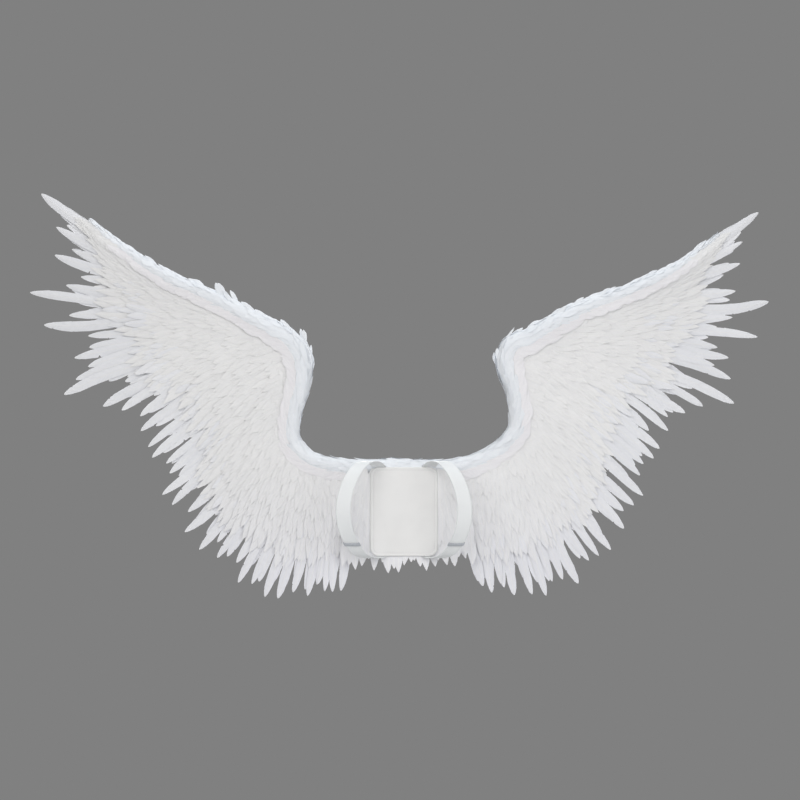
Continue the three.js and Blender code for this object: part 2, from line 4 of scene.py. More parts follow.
import bpy
import numpy as np
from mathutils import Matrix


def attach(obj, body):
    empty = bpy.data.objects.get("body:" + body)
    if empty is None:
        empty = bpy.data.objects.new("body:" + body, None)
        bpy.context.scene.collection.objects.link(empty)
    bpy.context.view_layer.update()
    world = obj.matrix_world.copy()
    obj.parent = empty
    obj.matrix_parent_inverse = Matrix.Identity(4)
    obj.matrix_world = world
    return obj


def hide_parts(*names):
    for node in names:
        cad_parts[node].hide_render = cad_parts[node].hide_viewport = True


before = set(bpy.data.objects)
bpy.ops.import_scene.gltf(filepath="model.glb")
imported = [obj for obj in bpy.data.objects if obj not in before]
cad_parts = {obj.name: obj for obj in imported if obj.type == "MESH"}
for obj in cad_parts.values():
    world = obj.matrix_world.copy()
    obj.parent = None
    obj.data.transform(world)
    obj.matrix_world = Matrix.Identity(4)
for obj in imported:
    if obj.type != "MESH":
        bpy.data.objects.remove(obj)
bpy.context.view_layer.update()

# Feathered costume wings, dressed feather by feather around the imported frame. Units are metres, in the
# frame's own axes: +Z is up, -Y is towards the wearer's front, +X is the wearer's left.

# Sizes of the wings, the same as the frame's
LEFT_HALF_SPAN = 1.040
RIGHT_HALF_SPAN = 1.067
LEFT_RISE = 0.846
RIGHT_RISE = 0.898
WING_DROP = 0.250
SWEEP_LEAN = 0.060
SWEEP_BOW = 0.120
ROLL_WIDTH = 0.052
ROLL_DEPTH = 0.048
SHEET_THICKNESS = 0.004
LAYER_PITCH = 0.0046
ROLL_CLEARANCE = 0.0009
SEAT_CLEARANCE = 0.0004
LENGTH_SCATTER = 0.05
SIDE_SCATTER = 0.16

# Seeds of the random generators, and the step from a row's seed to the next row's
FLIGHT_SEED = 1000
COVERT_SEED = 2000
CENTRE_SEED = 3000
ROLL_SEED = 4000
INNER_SEED = 5000
ROW_SEED_STEP = 10

# The last ray, how finely the rays and the rolls are followed, the least size that a roll is taken to
# have, and how far ahead and back a place on the roll looks for its direction
LAST_RAY = 15.4
RAY_STEPS = 155
ROLL_STEPS = 209
LINE_STEPS = 400
CONTOUR_STEPS = 600
ROLL_SEARCH = (0, 0.9, 0.004)
LEAST_ROLL_SIZE = 0.12
PLACE_STEP = 0.05

# The padded core of a roll: rings, sides, size beside the roll's, and scale of its weave
CORE_RINGS = 90
CORE_SIDES = 20
CORE_SIZE = 0.92
CORE_WEAVE = (0.02, 0.1)

# Contour feathers: where on the roll they begin, spacing of their rings, feathers in a ring, how far
# round the roll they reach, how far past its last point they may end, the size of the roll at which they
# start, how much they swell out and turn round it, how far they stray, how much they differ in length and
# width, and between which sizes of the roll both follow it
CONTOUR_FROM = -0.25
CONTOUR_SPACING = 0.021
CONTOUR_AROUND = 11
CONTOUR_ANGLE = math.radians(165)
CONTOUR_PAST = 0.02
CONTOUR_BASE = 0.97
CONTOUR_SWELL = (0.02, 0.12)
CONTOUR_TURNS = (0.35, 0.75)
CONTOUR_SIDE_STRAY = 0.2
CONTOUR_RING_STRAY = 0.35
CONTOUR_LENGTHS = (0.8, 1.2)
CONTOUR_WIDTHS = (0.85, 1.15)
CONTOUR_LENGTH_SIZES = (0.6, 1.2)
CONTOUR_WIDTH_SIZES = (0.55, 1.15)

# Loose feathers on the outer edge of a roll: the place they start from, spacing, how far they stand off,
# lengths, the way left free at the tip, the size of the roll at their base, their spread round the edge,
# how far they stray, how much they face up, how much of their height they keep, and the widths and sizes
# of these and other small feathers
EDGE_FROM = 6.2
EDGE_SPACING = 0.011
EDGE_STANDING = (-0.002, 0.008)
EDGE_LENGTHS = (0.045, 0.070)
EDGE_SHORT = 0.060
EDGE_BASE = 0.82
EDGE_ANGLE = 0.5
EDGE_STRAY = 0.008
EDGE_FACING_UP = 0.3
EDGE_FULLNESS = (0.7, 1.0)
SMALL_WIDTHS = (0.8, 1.1)
EDGE_SIZES = (0.55, 1)

# Feathers that run from a roll's inner side out over the coverts: spacing, how far past the roll they
# reach, how far they stand off the wing's middle there, the angle and the size of the roll at which they
# start, where the front's and the back's begin, and the share of the roll's length that carries them
INNER_SPACING = 0.0065
INNER_REACH = (-0.003, 0.011)
INNER_STANDING = 0.0177
INNER_ANGLE = math.radians(114)
INNER_BASE = 1.05
INNER_FROM = {-1: 0.6, 1: -0.1}
INNER_SHARE = 0.9
INNER_LENGTHS = (0.85, 1.25)
INNER_LENGTH_SIZES = (0.7, 1.2)
INNER_REACH_SIZES = (0.5, 1.2)

# Back plate
PLATE_WIDTH = 0.190
PLATE_HEIGHT = 0.250
PLATE_THICKNESS = 0.006
PLATE_CORNER = 0.024
HUB_DEPTH = PLATE_THICKNESS + SEAT_CLEARANCE + ROLL_DEPTH / 2

# Shoulder straps and their sliders
STRAP_WIDTH = 0.040
STRAP_THICKNESS = 0.0025
STRAP_SEAT_OUT = 0.070
LOOP_OUT = 0.167
LOOP_FORWARD = 0.126
LOOP_TOP = 0.142
LOOP_BOTTOM = 0.130
SLIDER_PLACE = 0.735
SLIDER_LENGTH = 0.012
SLIDER_WALL = 0.002
SLIDER_CLEARANCE = 0.0005
STRAP_CUP = -0.0012
STRAP_RINGS = 150
SLIDER_STEPS = 64
SLIDER_SQUARENESS = 0.35

# The camera's place and lens, for the photograph's view
CAMERA_PLACE = (-0.011, -6.88, 0.313)
CAMERA_LENS = 110.5
CAMERA_REACH = 100
SENSOR_WIDTH = 36.0

# Round floor
FLOOR_RADIUS = 2.85
FLOOR_LEVEL = -1.3
FLOOR_THICKNESS = 0.02
FLOOR_SIDES = 96

# Linear grey of the backdrop
BACKDROP = (0.216, 0.216, 0.216)

# Soft lights: name, place, point that it is aimed at, size, power and tint
LIGHTS = [
    ("key_light", (-1.2, -4.8, 2.2), (0, 0, 0.2), 4.4, 128, (1.0, 0.99, 0.975)),
    ("fill_light", (2.4, -4.6, 0.6), (0, 0, 0.2), 4.4, 84, (0.985, 0.99, 1.0)),
    ("top_light", (0.2, 0.4, 3.4), (0, 0, 0.3), 2.6, 46, (0.90, 0.95, 1.0)),
    ("back_light", (0.4, 4.6, 1.4), (0, 0, 0.2), 4.0, 120, (1.0, 1.0, 1.0)),
]

# Rays of a wing's fan from the plate to the tip: root out, root up, tip out, tip up. Out is a share of
# the half span, up a share of the rise, or of the drop where it is below zero.
LEFT_FAN = [
    (0.144, 0.144, 0.199, -0.85),
    (0.192, 0.161, 0.241, -0.92),
    (0.236, 0.187, 0.345, -0.97),
    (0.274, 0.225, 0.449, -0.8),
    (0.299, 0.266, 0.551, -0.49),
    (0.31, 0.319, 0.625, -0.03),
    (0.302, 0.396, 0.663, 0.128),
    (0.287, 0.455, 0.713, 0.236),
    (0.288, 0.526, 0.79, 0.33),
    (0.322, 0.565, 0.868, 0.388),
    (0.37, 0.591, 0.9, 0.485),
    (0.418, 0.623, 0.945, 0.576),
    (0.471, 0.662, 0.966, 0.69),
    (0.548, 0.706, 0.935, 0.81),
    (0.649, 0.745, 0.945, 0.91),
    (0.745, 0.807, 0.973, 1),
]
RIGHT_FAN = [
    (0.141, 0.135, 0.155, -0.888),
    (0.183, 0.137, 0.23, -0.936),
    (0.222, 0.146, 0.331, -0.992),
    (0.265, 0.173, 0.438, -0.776),
    (0.292, 0.215, 0.537, -0.456),
    (0.298, 0.287, 0.604, -0.03),
    (0.281, 0.367, 0.651, 0.127),
    (0.276, 0.437, 0.705, 0.238),
    (0.279, 0.492, 0.799, 0.324),
    (0.306, 0.533, 0.87, 0.39),
    (0.349, 0.561, 0.905, 0.49),
    (0.392, 0.597, 0.94, 0.6),
    (0.44, 0.627, 0.965, 0.695),
    (0.525, 0.676, 0.94, 0.81),
    (0.628, 0.731, 0.946, 0.914),
    (0.731, 0.81, 0.967, 1),
]

# Centre line of a wing's roll: out, up and size
LEFT_ROLL = [
    (0, 0.142, 1),
    (0.113, 0.142, 1),
    (0.194, 0.162, 1),
    (0.27, 0.215, 1),
    (0.308, 0.28, 1.02),
    (0.304, 0.388, 1.05),
    (0.283, 0.485, 1.25),
    (0.296, 0.546, 1.3),
    (0.348, 0.578, 1.1),
    (0.474, 0.665, 0.92),
    (0.619, 0.735, 0.8),
    (0.757, 0.817, 0.58),
    (0.868, 0.932, 0.16),
]
RIGHT_ROLL = [
    (0, 0.137, 1),
    (0.117, 0.134, 1),
    (0.185, 0.138, 1),
    (0.25, 0.16, 1),
    (0.297, 0.222, 1.02),
    (0.297, 0.3, 1.05),
    (0.277, 0.39, 1.1),
    (0.277, 0.477, 1.3),
    (0.31, 0.538, 1.25),
    (0.38, 0.587, 1),
    (0.505, 0.665, 0.88),
    (0.638, 0.738, 0.76),
    (0.772, 0.843, 0.52),
    (0.845, 0.924, 0.16),
]

# Long feathers of the fringe, from the plate to the tip: ray, and tip as a share of the ray's length
LEFT_FRINGE = [
    (0.2, 0.95),
    (0.52, 0.97),
    (0.97, 1),
    (1.31, 0.92),
    (1.6, 0.99),
    (2.05, 0.985),
    (2.37, 1.02),
    (2.63, 0.95),
    (2.88, 0.97),
    (3.17, 1.045),
    (3.62, 0.96),
    (3.85, 0.98),
    (4.14, 1.01),
    (4.62, 1),
    (4.9, 0.94),
    (5.16, 0.99),
    (5.47, 1.03),
    (5.83, 0.97),
    (6.14, 0.965),
    (6.42, 1.01),
    (6.74, 1.01),
    (7.27, 0.985),
    (7.62, 0.925),
    (7.93, 0.98),
    (8.34, 1.01),
    (8.84, 1.1),
    (9.59, 1.025),
    (9.93, 0.92),
    (10.3, 0.97),
    (10.62, 0.88),
    (11.09, 1.06),
    (11.68, 0.89),
    (12.12, 1.1),
    (12.44, 0.915),
    (13.25, 0.99),
    (14.07, 0.955),
    (15.02, 1.045),
]
RIGHT_FRINGE = [
    (0.17, 1),
    (0.46, 1),
    (0.76, 0.985),
    (1.02, 0.92),
    (1.27, 1),
    (1.69, 0.95),
    (2.03, 1),
    (2.33, 1.02),
    (2.7, 0.98),
    (2.98, 1.025),
    (3.23, 0.91),
    (3.64, 0.965),
    (4.06, 1.01),
    (4.58, 1.02),
    (4.86, 0.93),
    (5.19, 1.01),
    (5.52, 1.045),
    (5.82, 0.95),
    (6.07, 0.945),
    (6.35, 1.01),
    (6.63, 1),
    (7.1, 0.98),
    (7.48, 0.86),
    (7.79, 0.95),
    (8.06, 1.005),
    (8.86, 1.09),
    (9.27, 1),
    (9.6, 0.92),
    (9.91, 0.97),
    (10.2, 0.88),
    (10.92, 1.06),
    (11.2, 0.92),
    (11.93, 1.09),
    (12.28, 0.9),
    (13.03, 1),
    (13.34, 0.87),
    (13.95, 0.975),
    (15.02, 1.045),
]

# Tufts that stand off a roll's outer edge: place on the roll, distance that the tips stand off, length,
# feathers, width
LEFT_TUFTS = [
    (6.05, 0.010, 0.030, 2, 0.014),
    (6.8, 0.027, 0.030, 1, 0.006),
    (7.15, 0.012, 0.035, 2, 0.012),
    (7.9, 0.006, 0.045, 2, 0.014),
    (8.6, 0.009, 0.045, 2, 0.014),
    (8.9, 0.010, 0.045, 2, 0.014),
    (9.4, 0.012, 0.045, 3, 0.018),
    (10.1, 0.007, 0.05, 2, 0.014),
    (10.8, 0.006, 0.055, 2, 0.012),
    (11.4, 0.006, 0.055, 2, 0.012),
]
RIGHT_TUFTS = [
    (6.75, 0.012, 0.035, 2, 0.01),
    (7.45, 0.022, 0.03, 2, 0.014),
    (8.1, 0.012, 0.035, 2, 0.014),
    (8.6, 0.008, 0.045, 2, 0.014),
    (9.2, 0.008, 0.05, 2, 0.014),
    (9.6, 0.022, 0.04, 2, 0.018),
    (9.85, 0.036, 0.04, 2, 0.026),
    (10.6, 0.006, 0.05, 2, 0.014),
    (11.15, 0.009, 0.05, 2, 0.014),
    (11.8, 0.006, 0.06, 2, 0.012),
    (12.2, 0.012, 0.085, 2, 0.014),
]

Row = namedtuple("Row", "name layer first last feathers reach kind")

# Rows of feathers on each wing. A row without a number of feathers has those of the wing's fringe.
WING_ROWS = [
    Row("tertials", -0.5, 0, 3.4, 0, 1, "tertial"),
    Row("secondaries", -0.5, 3.4, 8.6, 0, 1, "secondary"),
    Row("primaries", -0.5, 8.6, 15.3, 0, 1, "primary"),
    Row("tertials_second_row", 0.5, 0, 3.65, 12, 0.91, "tertial"),
    Row("secondaries_second_row", 0.5, 3.65, 8.35, 13, 0.89, "secondary"),
    Row("primaries_second_row", 0.5, 8.35, 15.2, 17, 0.82, "primary"),
    Row("front_greater_coverts_inner", -1.5, 0, 5.5, 13, 0.76, "greater"),
    Row("front_greater_coverts_outer", -1.5, 5.5, 15.1, 18, 0.72, "greater"),
    Row("front_median_coverts_inner", -2.5, 0.1, 5.5, 11, 0.54, "median"),
    Row("front_median_coverts_outer", -2.5, 5.5, 14.9, 15, 0.5, "median"),
    Row("front_lesser_coverts_inner", -3.5, 0.2, 5.5, 10, 0.32, "lesser"),
    Row("front_lesser_coverts_outer", -3.5, 5.5, 14.6, 13, 0.3, "lesser"),
    Row("back_greater_coverts_inner", 1.5, 0, 5.5, 13, 0.72, "greater"),
    Row("back_greater_coverts_outer", 1.5, 5.5, 15.1, 18, 0.7, "greater"),
    Row("back_median_coverts_inner", 2.5, 0.1, 5.5, 11, 0.5, "median"),
    Row("back_median_coverts_outer", 2.5, 5.5, 14.9, 15, 0.47, "median"),
    Row("back_lesser_coverts_inner", 3.5, 0.2, 5.5, 10, 0.3, "lesser"),
    Row("back_lesser_coverts_outer", 3.5, 5.5, 14.6, 13, 0.27, "lesser"),
]

# Feathers behind the plate: root out, root up, tip out and tip up as shares of the plate's half sizes
CENTRE_FAN = [
    (-1.5, 0.7, -1.9, -1.2),
    (-0.75, 0.72, -0.9, -1.3),
    (0, 0.72, 0, -1.32),
    (0.75, 0.72, 0.9, -1.3),
    (1.5, 0.7, 1.9, -1.2),
]
CENTRE_ROWS = [
    Row("centre_feathers_front", 0, 0, 4.24, 14, 1, "centre"),
    Row("centre_feathers_back", 1, 0, 4.24, 13, 0.9, "centre"),
]

# Lines of feathers in a centre row, as how far short of its reach they stay, where the highest ones
# start, how many more feathers than the frame's row each line has, and how far the tips of each line
# stand off
CENTRE_LINES = [0.0, 0.16, 0.32, 0.46, 0.6, 0.74]
CENTRE_TOP = -0.13
CENTRE_MORE = 8
CENTRE_DEPTH = 0.0012
CENTRE_DEPTH_STEP = 0.0009
CENTRE_SHORTER = (-0.03, 0.13)
CENTRE_SHIFT = 0.3
CENTRE_STRAY = 0.06

# Route of a strap's middle line: out, forward, up
STRAP_ROUTE = [
    (0.03, 0.08, 0.92),
    (0.2, 0.36, 1),
    (0.44, 0.63, 0.98),
    (0.69, 0.85, 0.8),
    (0.9, 0.98, 0.48),
    (1, 1, 0.14),
    (0.97, 0.92, -0.23),
    (0.82, 0.73, -0.58),
    (0.56, 0.48, -0.87),
    (0.27, 0.22, -0.98),
]

# How each kind of feather is built: length, full width, share of its length that it bows sideways, how
# far its tip lifts, how many slits its vane has, its thickness, how much it twists and how much its vane
# is cambered
KINDS = {
    "primary": {"length": 0.290, "width": 0.028, "bow": 0.035, "lift": 0.005, "slits": 2,
                "thick": 0.0009, "twist": 0.10, "camber": 0.13},
    "secondary": {"length": 0.250, "width": 0.0265, "bow": 0.026, "lift": 0.004, "slits": 2,
                  "thick": 0.0009, "twist": 0.09, "camber": 0.13},
    "tertial": {"length": 0.220, "width": 0.0255, "bow": 0.020, "lift": 0.004, "slits": 2,
                "thick": 0.0009, "twist": 0.08, "camber": 0.13},
    "greater": {"length": 0.185, "width": 0.0275, "bow": 0.026, "lift": 0.0014, "slits": 0,
                "thick": 0.0006, "twist": 0.05, "camber": 0.09},
    "median": {"length": 0.150, "width": 0.024, "bow": 0.035, "lift": 0.0012, "slits": 0,
               "thick": 0.0006, "twist": 0.06, "camber": 0.07},
    "lesser": {"length": 0.120, "width": 0.023, "bow": 0.040, "lift": 0.0012, "slits": 0,
               "thick": 0.0006, "twist": 0.06, "camber": 0.07},
    "contour": {"length": 0.062, "width": 0.020, "bow": 0.060, "lift": 0.002, "slits": 0,
                "thick": 0.0007, "twist": 0.09, "camber": 0.14},
    "tuft": {"length": 0.050, "width": 0.014, "bow": 0.060, "lift": 0.003, "slits": 0,
             "thick": 0.0007, "twist": 0.25, "camber": 0.10},
    "centre": {"length": 0.120, "width": 0.027, "bow": 0.030, "lift": 0.002, "slits": 0,
               "thick": 0.0007, "twist": 0.07, "camber": 0.10},
}

# Feathers don't lie quite along the rays: how many rays further along the roll a feather starts than it
# ends
FLIGHT_TURN = [
    (5.0, 0),
    (6.3, 0.6),
    (7.6, 0.8),
    (9.0, 0.6),
    (10.2, 0.25),
    (11.6, -0.1),
    (12.8, -0.15),
    (14.0, 0),
]

# Flight feathers on the frame's own rays: how far their tips and bases stand off, and how far the bases
# stray
BLADE_DEPTH = 0.0023
BLADE_BASE_DEPTH = 0.0012
BLADE_STRAY = 0.03

# How far short of the fringe the fill feathers of the flight rows end: ray, distance
FILL_SHORT = [
    (0, 0.090),
    (3.4, 0.105),
    (7.5, 0.120),
    (9.5, 0.145),
    (15.4, 0.150),
]

# Lines of fill feathers in a flight row: further distance short, depth of the tip, depth of the base,
# spacing
FILL_LINES = [
    (0, 0.0034, 0.0018, 0.026),
    (0.036, 0.0046, 0.0026, 0.024),
    (0.072, 0.0056, 0.0034, 0.024),
]
FILL_LINE = 0.9
FILL_SCATTER = 0.018
FILL_STRAY = 0.06

# Lines of covert feathers in each covert row, from the fringe inwards: how far short of the row's reach
# the line stays, and how far its tips stand off the wing's middle
COVERT_LINES = {
    "greater": [(0.035, 0.0062), (0.11, 0.0074), (0.18, 0.0086)],
    "median": [(0.0, 0.0098), (0.07, 0.0110), (0.14, 0.0122)],
    "lesser": [(0.0, 0.0134), (0.075, 0.0146), (0.15, 0.0158)],
}
COVERT_BASE_STEP = 0.0030
COVERT_SCATTER = {"greater": 0.07, "median": 0.04, "lesser": 0.04}
COVERT_TURN = {"greater": 0.7, "median": 0.4, "lesser": 0.2}
FRONT_COVERT_SPACING = {"greater": 0.0175, "median": 0.0135, "lesser": 0.0125}
BACK_COVERT_SPACING = {"greater": 0.0190, "median": 0.0160, "lesser": 0.0160}

# The covert lines draw back from the fringe towards the wing's tip: ray, share of the reach
COVERT_DRAW_BACK = [(12.0, 1), (15.2, 0.62)]

# Lines of the smallest coverts, which start on the roll and close the step between it and the wing:
# reach, and how far the tips stand off the wing's middle
MARGINAL_LINES = [(0.12, 0.0146), (0.07, 0.0156), (0.03, 0.0168)]
MARGINAL_LEAST_DEPTH = 0.0150
MARGINAL_ON_ROLL = 0.98
MARGINAL_REACH = (0.6, 1.4)
MARGINAL_START = (0.5, 1.0)
MARGINAL_STRAY = 0.05

# Outline of a vane: share of the length, share of the half width
FLIGHT_OUTLINE = [
    (0, 0.14),
    (0.06, 0.45),
    (0.15, 0.8),
    (0.3, 0.96),
    (0.5, 1),
    (0.68, 0.98),
    (0.8, 0.88),
    (0.89, 0.68),
    (0.95, 0.44),
    (0.985, 0.22),
    (1, 0.05),
]
COVERT_OUTLINE = [
    (0, 0.18),
    (0.12, 0.6),
    (0.35, 0.95),
    (0.6, 1),
    (0.76, 0.84),
    (0.88, 0.54),
    (0.96, 0.24),
    (1, 0.05),
]

# Slits in a vane: place along it, half their length, and depth as a share of the half width, often none.
# Rings of a feather stay this share of its length apart.
SLIT_PLACE = (0.3, 0.93)
SLIT_GAP = (0.008, 0.016)
SLIT_DEPTH = (-0.35, 0.45)
RING_GAP = 0.0015

# Form of a feather: how its shaft bows, lifts and twists, how uneven and ragged the two sides of its vane
# are, how thin it is at its edge and at its tip, and how far the barbs sweep towards the tip
BOW_TURN = 0.85 * math.pi
BOW_SHARE = 0.6
LIFT_MEAN = 0.3
LIFT_SPREAD = 0.7
TWIST_MEAN = 0.05
TWIST_AT_BASE = 0.4
UNEVEN = 0.14
RAGGED = 0.035
THIN_EDGE = 0.25
THIN_TIP = 0.35
CAMBER_CURVE = 1.5
BARB_SWEEP = 0.45

# How much feathers of a kind differ in length and in width, and how far their bases and places stray
LENGTH_RANGE = (0.88, 1.12)
WIDTH_RANGE = (0.88, 1.1)
BASE_STRAY = 0.10
PLACE_STRAY = 0.28

GOLDEN = (math.sqrt(5) - 1) / 2


def scatter(index, row):
    """A value between 0 and 1 for each feather, the same as the frame's"""
    value = (index + 1) * GOLDEN + (row + 1) * math.sqrt(2)
    return value - np.floor(value)


def column_at(column, place):
    """Smooth values of a table's column at these places, carried straight on past its ends"""
    place = np.asarray(place, dtype=float)
    last = len(column) - 1
    cell = np.clip(np.floor(place).astype(int), 0, last - 1)
    part = place - cell
    start = column[cell]
    end = column[cell + 1]
    before = np.where(cell > 0, column[np.maximum(cell - 1, 0)], 2 * start - end)
    after = np.where(cell + 2 <= last, column[np.minimum(cell + 2, last)], 2 * end - start)
    slope_start = (end - before) / 2
    slope_end = (after - start) / 2
    smooth = (
        (2 * start - 2 * end + slope_start + slope_end) * part**3
        + (3 * end - 3 * start - 2 * slope_start - slope_end) * part**2
        + slope_start * part
        + start
    )
    straight = start + (end - start) * part
    return np.where((part < 0) | (part > 1), straight, smooth)


def unit(vectors):
    length = np.linalg.norm(vectors, axis=-1, keepdims=True)
    return vectors / np.maximum(length, 1e-12)


def way_along(points):
    """Length of the line through points, up to each of them"""
    steps = np.linalg.norm(np.diff(points, axis=0), axis=1)
    return np.concatenate([[0], np.cumsum(steps)])


def corners_round(count):
    """Angles of the corners of a ring"""
    return np.arange(count) * 2 * math.pi / count


class Fan:
    """A surface of straight rays"""

    def ray_length(self, ray):
        return np.linalg.norm(self.surface(ray, 1.0) - self.surface(ray, 0.0), axis=-1)


class Wing(Fan):
    """One wing's surface and roll, with the frame's own tables"""

    def __init__(self, name, side, half_span, rise, fan, roll, fringe, tufts):
        self.name = name
        self.side = side
        self.half_span = half_span
        self.rise = rise
        self.fringe_rays, self.fringe_tips = np.array(fringe, dtype=float).T
        self.tufts = tufts
        table = np.array(fan, dtype=float)
        self.root_out = table[:, 0] * half_span
        self.root_up = self.height(table[:, 1])
        self.tip_out = table[:, 2] * half_span
        self.tip_up = self.height(table[:, 3])
        roll_table = np.array(roll, dtype=float)
        self.roll_out = roll_table[:, 0] * half_span
        self.roll_up = self.height(roll_table[:, 1])
        self.roll_size = roll_table[:, 2]
        self.roll_last = len(roll) - 1
        self.roll_places = np.linspace(0, self.roll_last, ROLL_STEPS)
        self.grid = np.linspace(0, LAST_RAY, RAY_STEPS)
        self.roots = np.array([self.leaves_roll(ray) for ray in self.grid])

    def height(self, share):
        return np.where(share > 0, share * self.rise, share * WING_DROP)

    def depth(self, out):
        share = out / self.half_span
        return HUB_DEPTH + SWEEP_LEAN * share + SWEEP_BOW * share * share

    def flat(self, ray, share):
        """Out, depth and up of a point of the wing's middle surface"""
        root_out = column_at(self.root_out, ray)
        tip_out = column_at(self.tip_out, ray)
        root_up = column_at(self.root_up, ray)
        tip_up = column_at(self.tip_up, ray)
        out = root_out + (tip_out - root_out) * share
        up = root_up + (tip_up - root_up) * share
        deep = self.depth(root_out) + (self.depth(tip_out) - self.depth(root_out)) * share
        return out, deep, up

    def surface(self, ray, share):
        out, deep, up = self.flat(ray, share)
        return np.stack([self.side * out, deep, up], axis=-1)

    def roll_distance(self, out, up):
        """Distances from these points to points of the roll's centre line"""
        return np.hypot(
            out[:, None] - column_at(self.roll_out, self.roll_places)[None, :],
            up[:, None] - column_at(self.roll_up, self.roll_places)[None, :],
        )

    def leaves_roll(self, ray):
        """Share of a ray at which it leaves the roll"""
        shares = np.arange(*ROLL_SEARCH)
        out, deep, up = self.flat(np.full(len(shares), float(ray)), shares)
        size = column_at(self.roll_size, self.roll_places)
        across = self.roll_distance(out, up) - ROLL_CLEARANCE
        inner = np.maximum(0, np.abs(deep - self.depth(out)) - SHEET_THICKNESS / 2 - ROLL_CLEARANCE)
        wide = across / (ROLL_WIDTH / 2 * size)[None, :]
        thick = inner[:, None] / (ROLL_DEPTH / 2 * np.minimum(1, size))[None, :]
        clear = np.all((across > 0) & (wide * wide + thick * thick >= 1), axis=1)
        return shares[np.argmax(clear)]

    def root_share(self, ray):
        return np.interp(ray, self.grid, self.roots)

    def tip_share(self, ray, reach):
        root = self.root_share(ray)
        return root + (1 - root) * reach

    def roll_size_at(self, ray):
        """Size of the roll where these rays start"""
        out, _, up = self.flat(ray, np.zeros(len(ray)))
        nearest = np.argmin(self.roll_distance(out, up), axis=1)
        return column_at(self.roll_size, self.roll_places[nearest])

    def size_at(self, place):
        return np.maximum(column_at(self.roll_size, place), LEAST_ROLL_SIZE)

    def roll_point(self, place, angle, inflate):
        """Point and outward direction on the roll's oval.
        Angle 0 is its outer edge and -90 degrees its front."""
        step = PLACE_STEP
        out = column_at(self.roll_out, place)
        up = column_at(self.roll_up, place)
        along_out = column_at(self.roll_out, place + step) - column_at(self.roll_out, place - step)
        along_up = column_at(self.roll_up, place + step) - column_at(self.roll_up, place - step)
        length = np.hypot(along_out, along_up)
        along_out = along_out / length
        along_up = along_up / length
        size = self.size_at(place)
        half_width = ROLL_WIDTH / 2 * size
        half_depth = ROLL_DEPTH / 2 * np.minimum(1, size)
        across = np.cos(angle) * half_width * inflate
        x = out - along_up * across
        z = up + along_out * across
        y = self.depth(x) + np.sin(angle) * half_depth * inflate
        point = np.stack([self.side * x, y, z], axis=-1)
        sideways = np.cos(angle) / half_width
        outward = np.stack(
            [-self.side * along_up * sideways, np.sin(angle) / half_depth, along_out * sideways], axis=-1
        )
        return point, unit(outward)


class Panel(Fan):
    """The flat surface behind the plate that carries the centre feathers"""

    def __init__(self):
        table = np.array(CENTRE_FAN, dtype=float)
        self.root_out = table[:, 0] * PLATE_WIDTH / 2
        self.root_up = table[:, 1] * PLATE_HEIGHT / 2
        self.tip_out = table[:, 2] * PLATE_WIDTH / 2
        self.tip_up = table[:, 3] * PLATE_HEIGHT / 2
        self.deep = PLATE_THICKNESS + SEAT_CLEARANCE + SHEET_THICKNESS / 2

    def surface(self, ray, share):
        root_out = column_at(self.root_out, ray)
        root_up = column_at(self.root_up, ray)
        out = root_out + (column_at(self.tip_out, ray) - root_out) * share
        up = root_up + (column_at(self.tip_up, ray) - root_up) * share
        return np.stack([out, np.full(np.shape(out), self.deep), up], axis=-1)


LEFT = Wing("left", 1, LEFT_HALF_SPAN, LEFT_RISE, LEFT_FAN, LEFT_ROLL, LEFT_FRINGE, LEFT_TUFTS)
RIGHT = Wing("right", -1, RIGHT_HALF_SPAN, RIGHT_RISE, RIGHT_FAN, RIGHT_ROLL, RIGHT_FRINGE, RIGHT_TUFTS)
PANEL = Panel()


# Meshes

# Angle in degrees from which an edge is sharp, and the tone of pieces that aren't feathers
SHARP_FROM = 50
EVEN_TONE = 0.5


def mesh_object(name, points, faces, uvs, values=None, sharp=SHARP_FROM):
    """Joined mesh from arrays of points and faces, with smooth faces between sharp edges.
    faces is a list of arrays with 3 or 4 corners each, uvs a pair and values a number for each point."""
    if values is None:
        values = np.full(len(points), EVEN_TONE)
    mesh = bpy.data.meshes.new(name)
    corners = np.concatenate([block.reshape(-1) for block in faces]).astype(np.int32)
    totals = np.concatenate([np.full(len(block), block.shape[1]) for block in faces]).astype(np.int32)
    starts = np.concatenate([[0], np.cumsum(totals)[:-1]]).astype(np.int32)
    mesh.vertices.add(len(points))
    mesh.vertices.foreach_set("co", np.asarray(points, dtype=np.float32).reshape(-1))
    mesh.loops.add(len(corners))
    mesh.loops.foreach_set("vertex_index", corners)
    mesh.polygons.add(len(totals))
    mesh.polygons.foreach_set("loop_start", starts)
    mesh.polygons.foreach_set("loop_total", totals)
    mesh.update(calc_edges=True)
    layer = mesh.uv_layers.new(name="vane")
    layer.data.foreach_set("uv", np.asarray(uvs, dtype=np.float32)[corners].reshape(-1))
    attribute = mesh.attributes.new("feather", "FLOAT", "POINT")
    attribute.data.foreach_set("value", np.asarray(values, dtype=np.float32))
    mesh.validate()
    mesh.shade_smooth()
    mesh.set_sharp_from_angle(angle=math.radians(sharp))
    piece = bpy.data.objects.new(name, mesh)
    bpy.context.scene.collection.objects.link(piece)
    return piece


def outward_faces(points, faces):
    """The same faces, turned so that they point out of the closed body"""
    total = 0.0
    for block in faces:
        for step in range(1, block.shape[1] - 1):
            a, b, c = (points[block[:, corner]] for corner in (0, step, step + 1))
            total += np.sum(a * np.cross(b, c))
    if total < 0:
        return [block[:, ::-1] for block in faces]
    return faces


def closed_object(name, points, faces, uvs, sharp=SHARP_FROM):
    """A piece of one tone whose faces all point outwards"""
    return mesh_object(name, points, outward_faces(points, faces), uvs, sharp=sharp)


